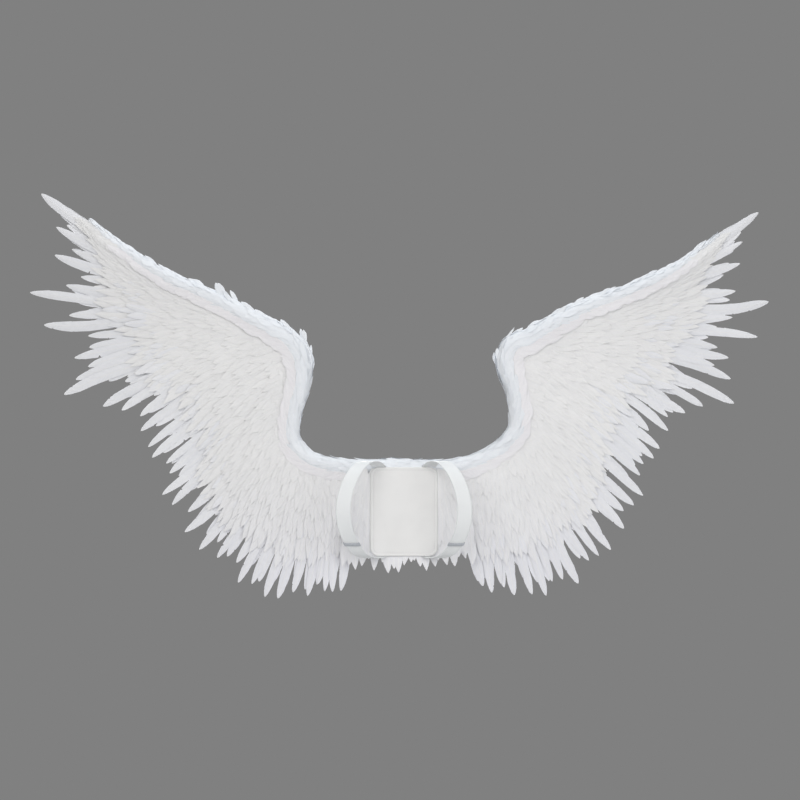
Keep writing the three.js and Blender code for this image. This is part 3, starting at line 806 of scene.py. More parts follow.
def dress(piece, material, slot_name, *nodes):
    piece.data.materials.append(material)
    if nodes:
        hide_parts(*nodes)
    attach(piece, "root")


def tube_faces(count, rings, sides):
    """Faces of many tubes that each have the same number of rings and sides, with both ends closed"""
    first = np.arange(count)[:, None, None] * rings * sides
    ring = np.arange(rings - 1)[None, :, None] * sides
    side = np.arange(sides)[None, None, :]
    after = (side + 1) % sides
    around = (side, after, sides + after, sides + side)
    quads = np.stack([first + ring + corner for corner in around], axis=-1).reshape(-1, 4)
    blocks = [quads]
    half = sides // 2
    start = np.arange(count) * rings * sides
    end = start + (rings - 1) * sides
    for base, turned in ((start, False), (end, True)):
        for step in range(half):
            near = (step, step + 1, sides - step - 1, (sides - step) % sides)
            corners = list(dict.fromkeys(near))
            order = corners if turned else corners[::-1]
            blocks.append(np.stack([base + corner for corner in order], axis=-1))
    return blocks


# Feathers

def stations(rng, count, outline, slits):
    """Where the rings of each feather lie, and how much each side of the vane is cut back there"""
    basic = np.array([share for share, _ in outline])
    places = np.repeat(basic[None, :], count, axis=0)
    cuts = np.zeros((count, len(basic), 2))
    for _ in range(slits):
        centre = rng.uniform(*SLIT_PLACE, count)
        gap = rng.uniform(*SLIT_GAP, count)
        deep = np.maximum(rng.uniform(*SLIT_DEPTH, count), 0)
        on_left = rng.random(count) < 0.5
        extra = np.stack([centre - gap, centre, centre + gap], axis=1)
        cut = np.zeros((count, 3, 2))
        cut[:, 1, 0] = np.where(on_left, deep, 0)
        cut[:, 1, 1] = np.where(on_left, 0, deep)
        places = np.concatenate([places, extra], axis=1)
        cuts = np.concatenate([cuts, cut], axis=1)
    order = np.argsort(places, axis=1)
    places = np.take_along_axis(places, order, axis=1)
    cuts = np.take_along_axis(cuts, order[:, :, None], axis=1)
    for step in range(1, places.shape[1]):
        places[:, step] = np.maximum(places[:, step], places[:, step - 1] + RING_GAP)
    over = np.maximum(places[:, -1:], 1)
    return places / over, cuts


# Ring of a vane: place across, from edge to edge, and which face it is on
FLIGHT_RING = np.array([(-1, 0), (-0.5, 1), (0, 1), (0.5, 1), (1, 0), (0.5, -1), (0, -1), (-0.5, -1)])
COVERT_RING = np.array([(-1, 0), (-0.35, 1), (0.35, 1), (1, 0), (0.35, -1), (-0.35, -1)])


def feather_arrays(line_at, facing_at, widths, kind, rng, outline):
    """Points, faces, UVs and values of a batch of feathers.
    line_at and facing_at give the middle line and the facing direction at an array of shares."""
    count = len(widths)
    ring = FLIGHT_RING if outline is FLIGHT_OUTLINE else COVERT_RING
    places, cuts = stations(rng, count, outline, kind["slits"])
    shares, sizes = np.array(outline).T
    profile = np.interp(places, shares, sizes)
    middle = line_at(places)
    upward = facing_at(places)
    along = unit(np.gradient(middle, axis=1))
    side = unit(np.cross(along, upward))
    upward = np.cross(side, along)
    length = np.sum(np.linalg.norm(np.diff(middle, axis=1), axis=-1), axis=1)

    # Sideways bow, and a tip that lifts or tucks in
    bend = rng.normal(0, kind["bow"], count) * length
    middle = middle + side * (bend[:, None] * np.sin(places * BOW_TURN) ** 2 * BOW_SHARE)[:, :, None]
    lift = rng.normal(LIFT_MEAN, LIFT_SPREAD, count) * kind["lift"]
    middle = middle + upward * (lift[:, None] * places**3)[:, :, None]

    # Twist about the shaft, more towards the tip
    angle = rng.normal(TWIST_MEAN, kind["twist"], count)[:, None]
    angle = (angle * (TWIST_AT_BASE + (1 - TWIST_AT_BASE) * places))[:, :, None]
    turned = side * np.cos(angle) + upward * np.sin(angle)
    upward = upward * np.cos(angle) - side * np.sin(angle)
    side = turned

    half = widths[:, None] / 2 * profile
    uneven = rng.uniform(-UNEVEN, UNEVEN, count)[:, None]
    ragged = 1 + rng.normal(0, RAGGED, (count, places.shape[1], 2))
    left = half * (1 - uneven) * (1 - cuts[:, :, 0]) * ragged[:, :, 0]
    right = half * (1 + uneven) * (1 - cuts[:, :, 1]) * ragged[:, :, 1]

    across = ring[:, 0]
    face = ring[:, 1]
    place = places[:, :, None]
    reach = np.where(across < 0, left[:, :, None], right[:, :, None]) * across
    shaft = (1 - np.abs(across)) ** 2
    taper = THIN_TIP + (1 - THIN_TIP) * (1 - place)
    height = (THIN_EDGE + (1 - THIN_EDGE) * shaft) * taper * kind["thick"] / 2
    droop = kind["camber"] * np.abs(reach) ** CAMBER_CURVE / np.sqrt(np.maximum(half[:, :, None], 1e-5))
    sweep = BARB_SWEEP * np.abs(reach) * (1 - place / 2)
    points = (
        middle[:, :, None, :]
        + side[:, :, None, :] * reach[..., None]
        + upward[:, :, None, :] * (height * face - droop)[..., None]
        + along[:, :, None, :] * sweep[..., None]
    )
    travelled = np.broadcast_to(place * length[:, None, None], reach.shape)
    uvs = np.stack([reach, travelled], axis=-1)
    values = np.repeat(rng.random(count), places.shape[1] * len(ring))
    faces = tube_faces(count, places.shape[1], len(ring))
    return points.reshape(-1, 3), faces, uvs.reshape(-1, 2), values


def joined(batches):
    """One set of arrays out of several"""
    points, faces, uvs, values = zip(*batches)
    starts = np.cumsum([0] + [len(part) for part in points])
    faces = [block + start for blocks, start in zip(faces, starts) for block in blocks]
    return np.concatenate(points), faces, np.concatenate(uvs), np.concatenate(values)


def facing_way(facing):
    """How feathers lie that show their flat side to the front, -1, or to the back, 1"""
    def facing_at(places):
        direction = np.zeros(places.shape + (3,))
        direction[..., 1] = facing
        return direction

    return facing_at


def feathers_on(
    surface, rays, tips, kind, rng, facing, depths, outline, bases=None, stray=BASE_STRAY, turn=0.0
):
    """Feathers that lie on a surface: their tips are on these rays at these shares, and depths says how far
    their tips and their bases stand off its middle"""
    count = len(rays)
    tip_depth, base_depth = depths
    if bases is None:
        lengths = kind["length"] * rng.uniform(*LENGTH_RANGE, count)
        bases = np.maximum(tips - lengths / surface.ray_length(rays), 0)
    base_rays = rays + turn + rng.normal(0, stray, count)
    base_depths = np.broadcast_to(base_depth, count)[:, None]
    widths = kind["width"] * rng.uniform(*WIDTH_RANGE, count)

    def line_at(places):
        ray = base_rays[:, None] + (rays - base_rays)[:, None] * places
        share = bases[:, None] + (tips - bases)[:, None] * places
        points = surface.surface(ray, share)
        points[..., 1] += facing * (base_depths + (tip_depth - base_depths) * places)
        return points

    return feather_arrays(line_at, facing_way(facing), widths, kind, rng, outline)


def even_rays(wing, row, reach, spacing, rng):
    """Rays whose feather tips are evenly spaced along a line at this reach, each a little out of place"""
    fine = np.linspace(row.first, row.last, LINE_STEPS)
    travelled = way_along(wing.surface(fine, wing.tip_share(fine, reach)))
    count = max(2, round(travelled[-1] / spacing))
    places = (np.arange(count) + 0.5 + rng.uniform(-PLACE_STRAY, PLACE_STRAY, count)) / count
    return np.interp(places * travelled[-1], travelled, fine)


def at_rays(table, rays):
    return np.interp(rays, *np.array(table).T)


def random_for(seed, wing, row_index=0):
    """The random generator of one row, or of one roll, on one wing"""
    return np.random.default_rng(seed + row_index * ROW_SEED_STEP + (wing.side > 0))


def flight_feathers(wing, row, rays, tips, rng, depths, stray):
    facing = -1 if row.layer < 0 else 1
    turn = at_rays(FLIGHT_TURN, rays)
    return feathers_on(
        wing, rays, tips, KINDS[row.kind], rng, facing, depths, FLIGHT_OUTLINE, stray=stray, turn=turn
    )


def frame_blades(wing, row_index, row, rng):
    """The feathers of a flight row, on the frame's own rays and with its lengths"""
    if row.feathers:
        index = np.arange(row.feathers)
        pitch = (row.last - row.first) / row.feathers
        rays = row.first + (index + 0.5 + (scatter(index, row_index) - 0.5) * SIDE_SCATTER) * pitch
        rough = 1 + (scatter(index * 2 + 1, row_index) - 0.5) * LENGTH_SCATTER * 2
        tips = wing.tip_share(rays, row.reach * rough)
    else:
        own = (wing.fringe_rays > row.first) & (wing.fringe_rays < row.last)
        rays = wing.fringe_rays[own]
        tips = wing.fringe_tips[own]
    return flight_feathers(wing, row, rays, tips, rng, (BLADE_DEPTH, BLADE_BASE_DEPTH), BLADE_STRAY)


def fill_blades(wing, row, rng, line):
    """Shorter feathers between the flight feathers"""
    further, depth, base_depth, spacing = line
    rays = even_rays(wing, row, FILL_LINE, spacing, rng)
    distance = at_rays(FILL_SHORT, rays) + further + rng.uniform(-FILL_SCATTER, FILL_SCATTER, len(rays))
    fringe = np.interp(rays, wing.fringe_rays, np.minimum(wing.fringe_tips, 1.0))
    tips = fringe - distance / wing.ray_length(rays)
    return flight_feathers(wing, row, rays, tips, rng, (depth, base_depth), FILL_STRAY)


def flight_row(wing, row_index, row):
    """A flight row: the frame's own blades with lines of shorter feathers between them"""
    rng = random_for(FLIGHT_SEED, wing, row_index)
    blades = frame_blades(wing, row_index, row, rng)
    return joined([blades] + [fill_blades(wing, row, rng, line) for line in FILL_LINES])


def covert_row(wing, row_index, row):
    """A covert row: lines of small feathers that overlap like shingles"""
    kind = KINDS[row.kind]
    rng = random_for(COVERT_SEED, wing, row_index)
    facing = -1 if row.layer < 0 else 1
    spacing = (FRONT_COVERT_SPACING if row.layer < 0 else BACK_COVERT_SPACING)[row.kind]
    rough = COVERT_SCATTER[row.kind]
    batches = []
    for short, depth in COVERT_LINES[row.kind]:
        line = row.reach - short
        rays = even_rays(wing, row, line, spacing, rng)
        drawn = line * at_rays(COVERT_DRAW_BACK, rays)
        tips = wing.tip_share(rays, drawn + rng.uniform(-rough, rough, len(rays)))
        depths = (depth, depth - COVERT_BASE_STEP)
        turn = at_rays(FLIGHT_TURN, rays) * COVERT_TURN[row.kind]
        batches.append(feathers_on(wing, rays, tips, kind, rng, facing, depths, COVERT_OUTLINE, turn=turn))
    if row.kind == "lesser":
        batches.extend(marginal_feathers(wing, row, kind, rng, facing, spacing))
    return joined(batches)


def marginal_feathers(wing, row, kind, rng, facing, spacing):
    """Small feathers that start on the roll and close the step between it and the coverts"""
    batches = []
    for line, depth in MARGINAL_LINES:
        rays = even_rays(wing, row, line, spacing, rng)
        tips = wing.tip_share(rays, line * rng.uniform(*MARGINAL_REACH, len(rays)))
        across = rng.uniform(*MARGINAL_START, len(rays))
        bases = wing.root_share(rays) * across
        half_depth = ROLL_DEPTH / 2 * np.minimum(1, wing.roll_size_at(rays))
        on_roll = half_depth * np.sqrt(1 - across**2) * MARGINAL_ON_ROLL
        depths = (depth, np.maximum(on_roll, MARGINAL_LEAST_DEPTH))
        batches.append(
            feathers_on(wing, rays, tips, kind, rng, facing, depths, COVERT_OUTLINE, bases, MARGINAL_STRAY)
        )
    return batches


def centre_row(row_index, row):
    """Short feathers behind the plate"""
    kind = KINDS[row.kind]
    rng = np.random.default_rng(CENTRE_SEED + row_index)
    facing = 1 if row.layer else -1
    batches = []
    for line, short in enumerate(CENTRE_LINES):
        index = np.arange(row.feathers + CENTRE_MORE)
        shift = rng.uniform(-CENTRE_SHIFT, CENTRE_SHIFT, len(index))
        rays = row.first + (row.last - row.first) * (index + 0.5 + shift) / len(index)
        tips = (row.reach - short) - rng.uniform(*CENTRE_SHORTER, len(index))
        bases = np.maximum(tips - kind["length"] / PANEL.ray_length(rays), CENTRE_TOP)
        depths = (CENTRE_DEPTH + CENTRE_DEPTH_STEP * line, CENTRE_DEPTH_STEP * line)
        batches.append(
            feathers_on(PANEL, rays, tips, kind, rng, facing, depths, COVERT_OUTLINE, bases, CENTRE_STRAY)
        )
    points, faces, uvs, values = joined(batches)
    points[:, 1] += row.layer * LAYER_PITCH
    return points, faces, uvs, values


def roll_travel(wing):
    """Places along the roll, and the way along it to each of them"""
    fine = np.linspace(CONTOUR_FROM, wing.roll_last, CONTOUR_STEPS)
    line = np.column_stack([column_at(wing.roll_out, fine), column_at(wing.roll_up, fine)])
    return fine, way_along(line)


def roll_feathers(wing):
    """Short contour feathers that cover the roll and point to the wing's tip"""
    kind = KINDS["contour"]
    rng = random_for(ROLL_SEED, wing)
    fine, travelled = roll_travel(wing)
    whole = travelled[-1]
    rows = int(whole / CONTOUR_SPACING)
    ring_index, side_index = np.meshgrid(np.arange(rows), np.arange(CONTOUR_AROUND), indexing="ij")
    shape = ring_index.shape
    turn = np.where(ring_index % 2 == 0, 0.25, -0.25)
    around = side_index + 0.5 + turn + rng.uniform(-CONTOUR_SIDE_STRAY, CONTOUR_SIDE_STRAY, shape)
    angles = ((around / CONTOUR_AROUND * 2 - 1) * CONTOUR_ANGLE).reshape(-1)
    rings = ring_index + 0.5 + rng.uniform(-CONTOUR_RING_STRAY, CONTOUR_RING_STRAY, shape)
    travel = (rings / rows * whole).reshape(-1)
    size = column_at(wing.roll_size, np.interp(travel, travelled, fine))
    lengths = kind["length"] * rng.uniform(*CONTOUR_LENGTHS, len(travel))
    lengths = lengths * np.clip(size, *CONTOUR_LENGTH_SIZES)
    keep = travel + lengths < whole + CONTOUR_PAST
    travel, angles, lengths, size = (values[keep] for values in (travel, angles, lengths, size))
    count = len(travel)
    turns = np.sign(angles) * np.abs(np.sin(angles)) * rng.uniform(*CONTOUR_TURNS, count)
    swell = rng.uniform(*CONTOUR_SWELL, count)
    widths = kind["width"] * rng.uniform(*CONTOUR_WIDTHS, count) * np.clip(size, *CONTOUR_WIDTH_SIZES)

    def at(places):
        place = np.interp(travel[:, None] + lengths[:, None] * places, travelled, fine)
        angle = angles[:, None] + turns[:, None] * places
        return wing.roll_point(place, angle, CONTOUR_BASE + swell[:, None] * places**1.5)

    cover = feather_arrays(
        lambda places: at(places)[0], lambda places: at(places)[1], widths, kind, rng, COVERT_OUTLINE
    )
    return joined([cover, edge_feathers(wing, rng, fine, travelled)])


def edge_feathers(wing, rng, fine, travelled):
    """Feathers that stand off the roll's outer edge: a rough line of short ones, and tufts of longer ones"""
    kind = KINDS["tuft"]
    places, standing, lengths, counts, widths = np.array(wing.tufts).T
    first = np.interp(EDGE_FROM, fine, travelled)
    loose = int((travelled[-1] - first - EDGE_SHORT) / EDGE_SPACING)

    def with_loose(of_tufts, of_loose):
        return np.concatenate([np.repeat(of_tufts, counts.astype(int)), of_loose])

    row = first + (np.arange(loose) + rng.uniform(0, 1, loose)) * EDGE_SPACING
    start = with_loose(np.interp(places, fine, travelled), row)
    standing = with_loose(standing, rng.uniform(*EDGE_STANDING, loose))
    lengths = with_loose(lengths, rng.uniform(*EDGE_LENGTHS, loose))
    widths = with_loose(widths, np.full(loose, kind["width"]))
    count = len(start)
    start = start + rng.uniform(-EDGE_STRAY, EDGE_STRAY, count)
    standing = standing * rng.uniform(*EDGE_FULLNESS, count)
    angles = rng.uniform(-EDGE_ANGLE, EDGE_ANGLE, count)[:, None]
    size = wing.size_at(np.interp(start, travelled, fine))
    swell = (standing / (ROLL_WIDTH / 2 * size))[:, None]
    widths = widths * rng.uniform(*SMALL_WIDTHS, count) * np.clip(size, *EDGE_SIZES)

    def line_at(shares):
        place = np.interp(start[:, None] + lengths[:, None] * shares, travelled, fine)
        inflate = EDGE_BASE + (1 - EDGE_BASE + swell) * shares**1.2
        return wing.roll_point(place, np.broadcast_to(angles, place.shape), inflate)[0]

    def facing_at(shares):
        direction = np.zeros(shares.shape + (3,))
        direction[..., 1] = -np.cos(angles)
        direction[..., 2] = np.abs(np.sin(angles)) + EDGE_FACING_UP
        return direction

    return feather_arrays(line_at, facing_at, widths, kind, rng, COVERT_OUTLINE)


def inner_feathers(wing, rng, facing):
    """Feathers that start on the roll's inner side and end over the coverts, which blurs the roll's edge"""
    kind = KINDS["contour"]
    fine, travelled = roll_travel(wing)
    first = np.interp(INNER_FROM[facing], fine, travelled)
    count = int((travelled[-1] * INNER_SHARE - first) / INNER_SPACING)
    start = first + (np.arange(count) + rng.uniform(0, 1, count)) * INNER_SPACING
    size = column_at(wing.roll_size, np.interp(start, travelled, fine))
    lengths = kind["length"] * rng.uniform(*INNER_LENGTHS, count) * np.clip(size, *INNER_LENGTH_SIZES)
    reach = rng.uniform(*INNER_REACH, count) * np.clip(size, *INNER_REACH_SIZES)
    widths = kind["width"] * rng.uniform(*SMALL_WIDTHS, count)

    def line_at(shares):
        place = np.interp(start[:, None] + lengths[:, None] * shares, travelled, fine)
        half_width = ROLL_WIDTH / 2 * wing.size_at(place)
        on_roll = wing.roll_point(place, facing * INNER_ANGLE, INNER_BASE)[0]
        over = wing.roll_point(place, math.pi, 1 + reach[:, None] / half_width)[0]
        over[..., 1] += facing * INNER_STANDING
        return on_roll + (over - on_roll) * shares[..., None]

    return feather_arrays(line_at, facing_way(facing), widths, kind, rng, COVERT_OUTLINE)


def roll_core(wing):
    """Points, faces and UVs of the padded tube under the contour feathers, inside the frame's roll"""
    place = np.linspace(0, wing.roll_last, CORE_RINGS)[:, None]
    angle = corners_round(CORE_SIDES)[None, :]
    points, _ = wing.roll_point(place, angle, CORE_SIZE)
    points[0, :, 0] = wing.side * SEAT_CLEARANCE / 2
    if wing.side > 0:
        points = points[:, ::-1, :]
    uvs = np.stack(np.broadcast_arrays(angle * CORE_WEAVE[0], place * CORE_WEAVE[1]), axis=-1)
    return points.reshape(-1, 3), tube_faces(1, CORE_RINGS, CORE_SIDES), uvs.reshape(-1, 2)


# Materials

class Nodes:
    """Short calls for building a material's nodes"""

    def __init__(self, name):
        self.material = bpy.data.materials.new(name)
        self.material.use_nodes = True
        self.tree = self.material.node_tree
        self.shader = self.tree.nodes["Principled BSDF"]

    def add(self, kind, settings=None, **inputs):
        node = self.tree.nodes.new(kind)
        for key, value in (settings or {}).items():
            setattr(node, key, value)
        for key, value in inputs.items():
            self.put(node.inputs[key.replace("_", " ")], value)
        return node

    def put(self, socket, value):
        if isinstance(value, bpy.types.NodeSocket):
            self.tree.links.new(value, socket)
        else:
            socket.default_value = value

    def shade(self, name, socket):
        """Links a socket to one of the shader's inputs"""
        self.tree.links.new(socket, self.shader.inputs[name])

    def math(self, operation, *values):
        node = self.tree.nodes.new("ShaderNodeMath")
        node.operation = operation
        for socket, value in zip(node.inputs, values):
            self.put(socket, value)
        return node.outputs[0]

    def times(self, first, second):
        return self.math("MULTIPLY", first, second)

    def times_plus(self, first, second, third):
        return self.math("MULTIPLY_ADD", first, second, third)

    def vector(self, *values):
        node = self.tree.nodes.new("ShaderNodeCombineXYZ")
        for socket, value in zip(node.inputs, values):
            self.put(socket, value)
        return node.outputs[0]

    def vane(self):
        """Ways across and along a vane or a cloth, in metres"""
        uv = self.add("ShaderNodeUVMap", {"uv_map": "vane"})
        split = self.add("ShaderNodeSeparateXYZ", Vector=uv.outputs[0])
        return split.outputs[0], split.outputs[1]

    def place(self):
        return self.add("ShaderNodeTexCoord").outputs["Object"]

    def noise(self, vector, scale=1.0, detail=2.0, roughness=0.5):
        node = self.add("ShaderNodeTexNoise", Vector=vector, Scale=scale, Detail=detail, Roughness=roughness)
        return node.outputs["Fac"]

    def ranged(self, value, low, high, to_low, to_high):
        node = self.tree.nodes.new("ShaderNodeMapRange")
        for index, item in enumerate((value, low, high, to_low, to_high)):
            self.put(node.inputs[index], item)
        return node.outputs[0]

    def contrast(self, value):
        """The middle part of a noise, spread from 0 to 1"""
        return self.ranged(value, 0.3, 0.7, 0, 1)

    def mixed(self, factor, first, second):
        node = self.tree.nodes.new("ShaderNodeMix")
        node.data_type = "RGBA"
        for index, item in ((0, factor), (6, first), (7, second)):
            self.put(node.inputs[index], item)
        return node.outputs[2]

    def bump(self, height, strength, distance):
        node = self.add("ShaderNodeBump", Strength=strength, Distance=distance, Height=height)
        self.shade("Normal", node.outputs["Normal"])


def colour(red, green, blue):
    return (red, green, blue, 1.0)


# Painted shade: lilac grey that the lowest feathers turn to, darker towards the bottom, and the heights
# between which they do
LOW_PAINTED_SHADE = colour(0.80, 0.80, 0.85)
LOW_PAINTED_SHADE_HEIGHTS = (0.12, -0.18)

# Slant of the barbs, how far apart two feathers lie in the noise, and how far the shaft's colour reaches
BARB_SLANT = -0.9
OWN_SHIFT = 61.0
SHAFT_EDGE = (0.0006, 0.0013)


def feather_material(name, bright, shaded, shaft, roughness):
    """White vane with slanting barbs, a paler shaft, feathers that differ a little from each other, and
    painted shade in lilac grey on the lowest feathers
    """
    nodes = Nodes(name)
    across, along = nodes.vane()
    own = nodes.add("ShaderNodeAttribute", {"attribute_name": "feather"}).outputs["Fac"]
    away = nodes.math("ABSOLUTE", across)
    barb = nodes.times_plus(away, BARB_SLANT, along)
    shift = nodes.times(own, OWN_SHIFT)

    def barbs(finely_along, finely_across, detail):
        place = nodes.vector(nodes.times(barb, finely_along), nodes.times(across, finely_across), shift)
        return nodes.noise(place, detail=detail)

    fine = barbs(1050.0, 60.0, 2.0)
    clump = barbs(210.0, 45.0, 3.0)
    streak = barbs(26.0, 120.0, 2.0)
    place = nodes.place()
    cloudy = nodes.noise(place, scale=5.0, detail=3.0)

    tone = nodes.times_plus(nodes.contrast(clump), 0.36, nodes.times(own, 0.20))
    tone = nodes.times_plus(nodes.contrast(fine), 0.22, tone)
    tone = nodes.times_plus(nodes.contrast(streak), 0.22, tone)
    base = nodes.mixed(tone, shaded, bright)
    base = nodes.mixed(nodes.ranged(cloudy, 0.42, 0.62, 0, 0.30), base, shaded)
    height = nodes.add("ShaderNodeSeparateXYZ", Vector=place).outputs[2]
    # Painted shade: the lower a feather lies, the more it turns towards lilac grey
    base = nodes.mixed(nodes.ranged(height, *LOW_PAINTED_SHADE_HEIGHTS, 0, 0.55), base, LOW_PAINTED_SHADE)
    on_shaft = nodes.ranged(away, *SHAFT_EDGE, 1, 0)
    base = nodes.mixed(nodes.times(on_shaft, 0.45), base, shaft)
    nodes.shade("Base Color", base)
    nodes.shade("Roughness", nodes.ranged(clump, 0.3, 0.7, roughness + 0.06, roughness - 0.06))
    ribs = nodes.times_plus(clump, 0.8, nodes.times(fine, 0.5))
    nodes.bump(nodes.times_plus(on_shaft, 0.5, ribs), 0.4, 0.0009)
    nodes.shader.inputs["Sheen Weight"].default_value = 0.12
    nodes.shader.inputs["Sheen Roughness"].default_value = 0.6
    nodes.shader.inputs["Specular IOR Level"].default_value = 0.25
    return nodes.material


def woven_material(name, bright, shaded, pitch, roughness, sheen, ribbed):
    """White woven cloth: threads over and under each other, or a ribbon's fine cross ribs"""
    nodes = Nodes(name)
    across, along = nodes.vane()
    turns = 2 * math.pi / pitch
    warp = nodes.math("SINE", nodes.times(across, turns * (2 if ribbed else 1)))
    weft = nodes.math("SINE", nodes.times(along, turns))
    weave = nodes.times_plus(warp, 0.3, weft) if ribbed else nodes.times(warp, weft)
    place = nodes.place()
    fuzz = nodes.noise(place, scale=900.0, detail=2.0)
    soiled = nodes.noise(place, scale=18.0, detail=4.0)
    tone = nodes.times_plus(nodes.ranged(weave, -1, 1, 0, 1), 0.35, nodes.times(fuzz, 0.45))
    base = nodes.mixed(tone, shaded, bright)
    nodes.shade("Base Color", nodes.mixed(nodes.ranged(soiled, 0.45, 0.7, 0, 0.5), base, shaded))
    nodes.shade("Roughness", nodes.ranged(fuzz, 0.3, 0.7, roughness - 0.07, roughness + 0.07))
    nodes.bump(nodes.times_plus(fuzz, 0.4, weave), 0.35, pitch * 0.16)
    nodes.shader.inputs["Sheen Weight"].default_value = sheen
    nodes.shader.inputs["Sheen Roughness"].default_value = 0.4
    return nodes.material


def plastic_material(name, bright, shaded):
    """Satin moulded plastic with lighter and darker patches at random"""
    nodes = Nodes(name)
    place = nodes.place()
    grain = nodes.noise(place, scale=2200.0, detail=2.0)
    patch = nodes.noise(place, scale=140.0, detail=3.0)
    nodes.shade("Base Color", nodes.mixed(nodes.ranged(patch, 0.35, 0.65, 0, 1), shaded, bright))
    nodes.shade("Roughness", nodes.ranged(patch, 0.3, 0.7, 0.34, 0.52))
    nodes.bump(grain, 0.2, 0.0001)
    return nodes.material


FLIGHT = feather_material(
    "flight_vane", colour(0.945, 0.95, 0.97), colour(0.80, 0.81, 0.85), colour(0.90, 0.89, 0.87), 0.80
)
COVERT = feather_material(
    "covert_vane", colour(0.95, 0.947, 0.945), colour(0.83, 0.83, 0.84), colour(0.92, 0.91, 0.89), 0.84
)
# Roll feathers: their bluish white is a painted blue cast of the cool light from above
CONTOUR = feather_material(
    "contour_vane", colour(0.925, 0.95, 0.98), colour(0.81, 0.84, 0.885), colour(0.90, 0.915, 0.94), 0.86
)
INNER = feather_material(
    "inner_vane", colour(0.955, 0.945, 0.96), colour(0.84, 0.83, 0.86), colour(0.92, 0.91, 0.92), 0.84
)
WADDING = woven_material(
    "roll_wadding", colour(0.90, 0.92, 0.95), colour(0.78, 0.80, 0.84), 0.0016, 0.9, 0.2, False
)
RIBBON = woven_material(
    "strap_ribbon", colour(0.94, 0.96, 0.965), colour(0.84, 0.86, 0.87), 0.0013, 0.42, 0.25, True
)
COVER = woven_material(
    "plate_cloth", colour(0.94, 0.935, 0.925), colour(0.82, 0.815, 0.81), 0.0015, 0.78, 0.2, False
)
THREAD = woven_material(
    "stitch_thread", colour(0.88, 0.88, 0.87), colour(0.66, 0.66, 0.67), 0.0006, 0.7, 0.1, False
)
SLIDER = plastic_material("slider_plastic", colour(0.52, 0.54, 0.58), colour(0.44, 0.46, 0.50))


# Straps

# How finely a path is followed between two points, and how far it looks ahead and back for its direction
PATH_STEPS = 60
PATH_LOOK = 0.002


class Path:
    """A smooth line through points, walked by its length"""

    def __init__(self, points):
        points = np.array(points, dtype=float)
        before = 2 * points[0] - points[1]
        after = 2 * points[-1] - points[-2]
        knots = np.vstack([before, points, after])
        steps = np.linalg.norm(np.diff(knots, axis=0), axis=1) ** 0.5
        line = []
        for cell in range(len(points) - 1):
            p0, p1, p2, p3 = knots[cell:cell + 4]
            d0, d1, d2 = steps[cell:cell + 3]
            slope1 = ((p1 - p0) / d0 - (p2 - p0) / (d0 + d1) + (p2 - p1) / d1) * d1
            slope2 = ((p2 - p1) / d1 - (p3 - p1) / (d1 + d2) + (p3 - p2) / d2) * d1
            part = np.linspace(0, 1, PATH_STEPS, endpoint=cell == len(points) - 2)[:, None]
            line.append(
                (2 * p1 - 2 * p2 + slope1 + slope2) * part**3
                + (3 * p2 - 3 * p1 - 2 * slope1 - slope2) * part**2
                + slope1 * part
                + p1
            )
        self.line = np.vstack(line)
        self.travel = way_along(self.line)
        self.length = self.travel[-1]

    def at(self, travel):
        return np.stack([np.interp(travel, self.travel, self.line[:, axis]) for axis in range(3)], axis=-1)

    def frame_at(self, travel):
        """Point, direction along, direction across and direction away from the shoulder"""
        along = unit(self.at(travel + PATH_LOOK) - self.at(travel - PATH_LOOK))
        away = unit(np.stack([np.zeros(len(travel)), along[:, 2], -along[:, 1]], axis=-1))
        across = np.tile([1.0, 0.0, 0.0], (len(travel), 1))
        return self.at(travel), along, across, away


def strap_path(side):
    seat_up = PLATE_HEIGHT / 2 + SEAT_CLEARANCE + STRAP_THICKNESS / 2
    points = [(side * STRAP_SEAT_OUT, PLATE_THICKNESS, seat_up), (side * STRAP_SEAT_OUT, 0, seat_up)]
    for out, forward, up in STRAP_ROUTE:
        x = side * (STRAP_SEAT_OUT + (LOOP_OUT - STRAP_SEAT_OUT) * out)
        points.append((x, -forward * LOOP_FORWARD, up * (LOOP_TOP if up > 0 else LOOP_BOTTOM)))
    points += [(side * STRAP_SEAT_OUT, 0, -seat_up), (side * STRAP_SEAT_OUT, PLATE_THICKNESS, -seat_up)]
    return Path(points)


# Section of a strap: place across and place through it, as shares of its half sizes, with thicker edges
STRAP_HALF_SECTION = [
    (-1, 0),
    (-0.97, 0.8),
    (-0.9, 1),
    (-0.84, 0.72),
    (-0.5, 0.66),
    (0, 0.64),
    (0.5, 0.66),
    (0.84, 0.72),
    (0.9, 1),
    (0.97, 0.8),
]
STRAP_SECTION = STRAP_HALF_SECTION + [(-across, -through) for across, through in STRAP_HALF_SECTION]


def swept(path, travel, section, width, thickness, sway):
    """A section swept along a path, cupped by the sway in its middle: points, faces and UVs"""
    centre, _, across, away = path.frame_at(travel)
    section = np.array(section)
    sideways = section[:, 0][None, :] * width / 2
    outward = section[:, 1][None, :] * thickness / 2
    cup = sway * (section[:, 0][None, :] ** 2) * np.sin(travel / path.length * math.pi)[:, None]
    points = (
        centre[:, None, :]
        + across[:, None, :] * sideways[..., None]
        + away[:, None, :] * (outward + cup)[..., None]
    )
    uvs = np.stack(np.broadcast_arrays(sideways, travel[:, None]), axis=-1)
    return points.reshape(-1, 3), tube_faces(1, len(travel), len(section)), uvs.reshape(-1, 2)


# Section of a slider's wall: place through it and place along the strap, from -1 to 1
SLIDER_SECTION = [(1, 0), (0.8, 0.8), (0, 1), (-0.8, 0.8), (-1, 0), (-0.8, -0.8), (0, -1), (0.8, -0.8)]


def strap_piece(side, name):
    path = strap_path(side)
    travel = np.linspace(0, path.length, STRAP_RINGS)
    arrays = swept(path, travel, STRAP_SECTION, STRAP_WIDTH, STRAP_THICKNESS, STRAP_CUP)
    piece = closed_object(f"{name}_strap_ribbon", *arrays, sharp=60)
    dress(piece, RIBBON, "webbing", f"{name}_shoulder_strap")
    return path


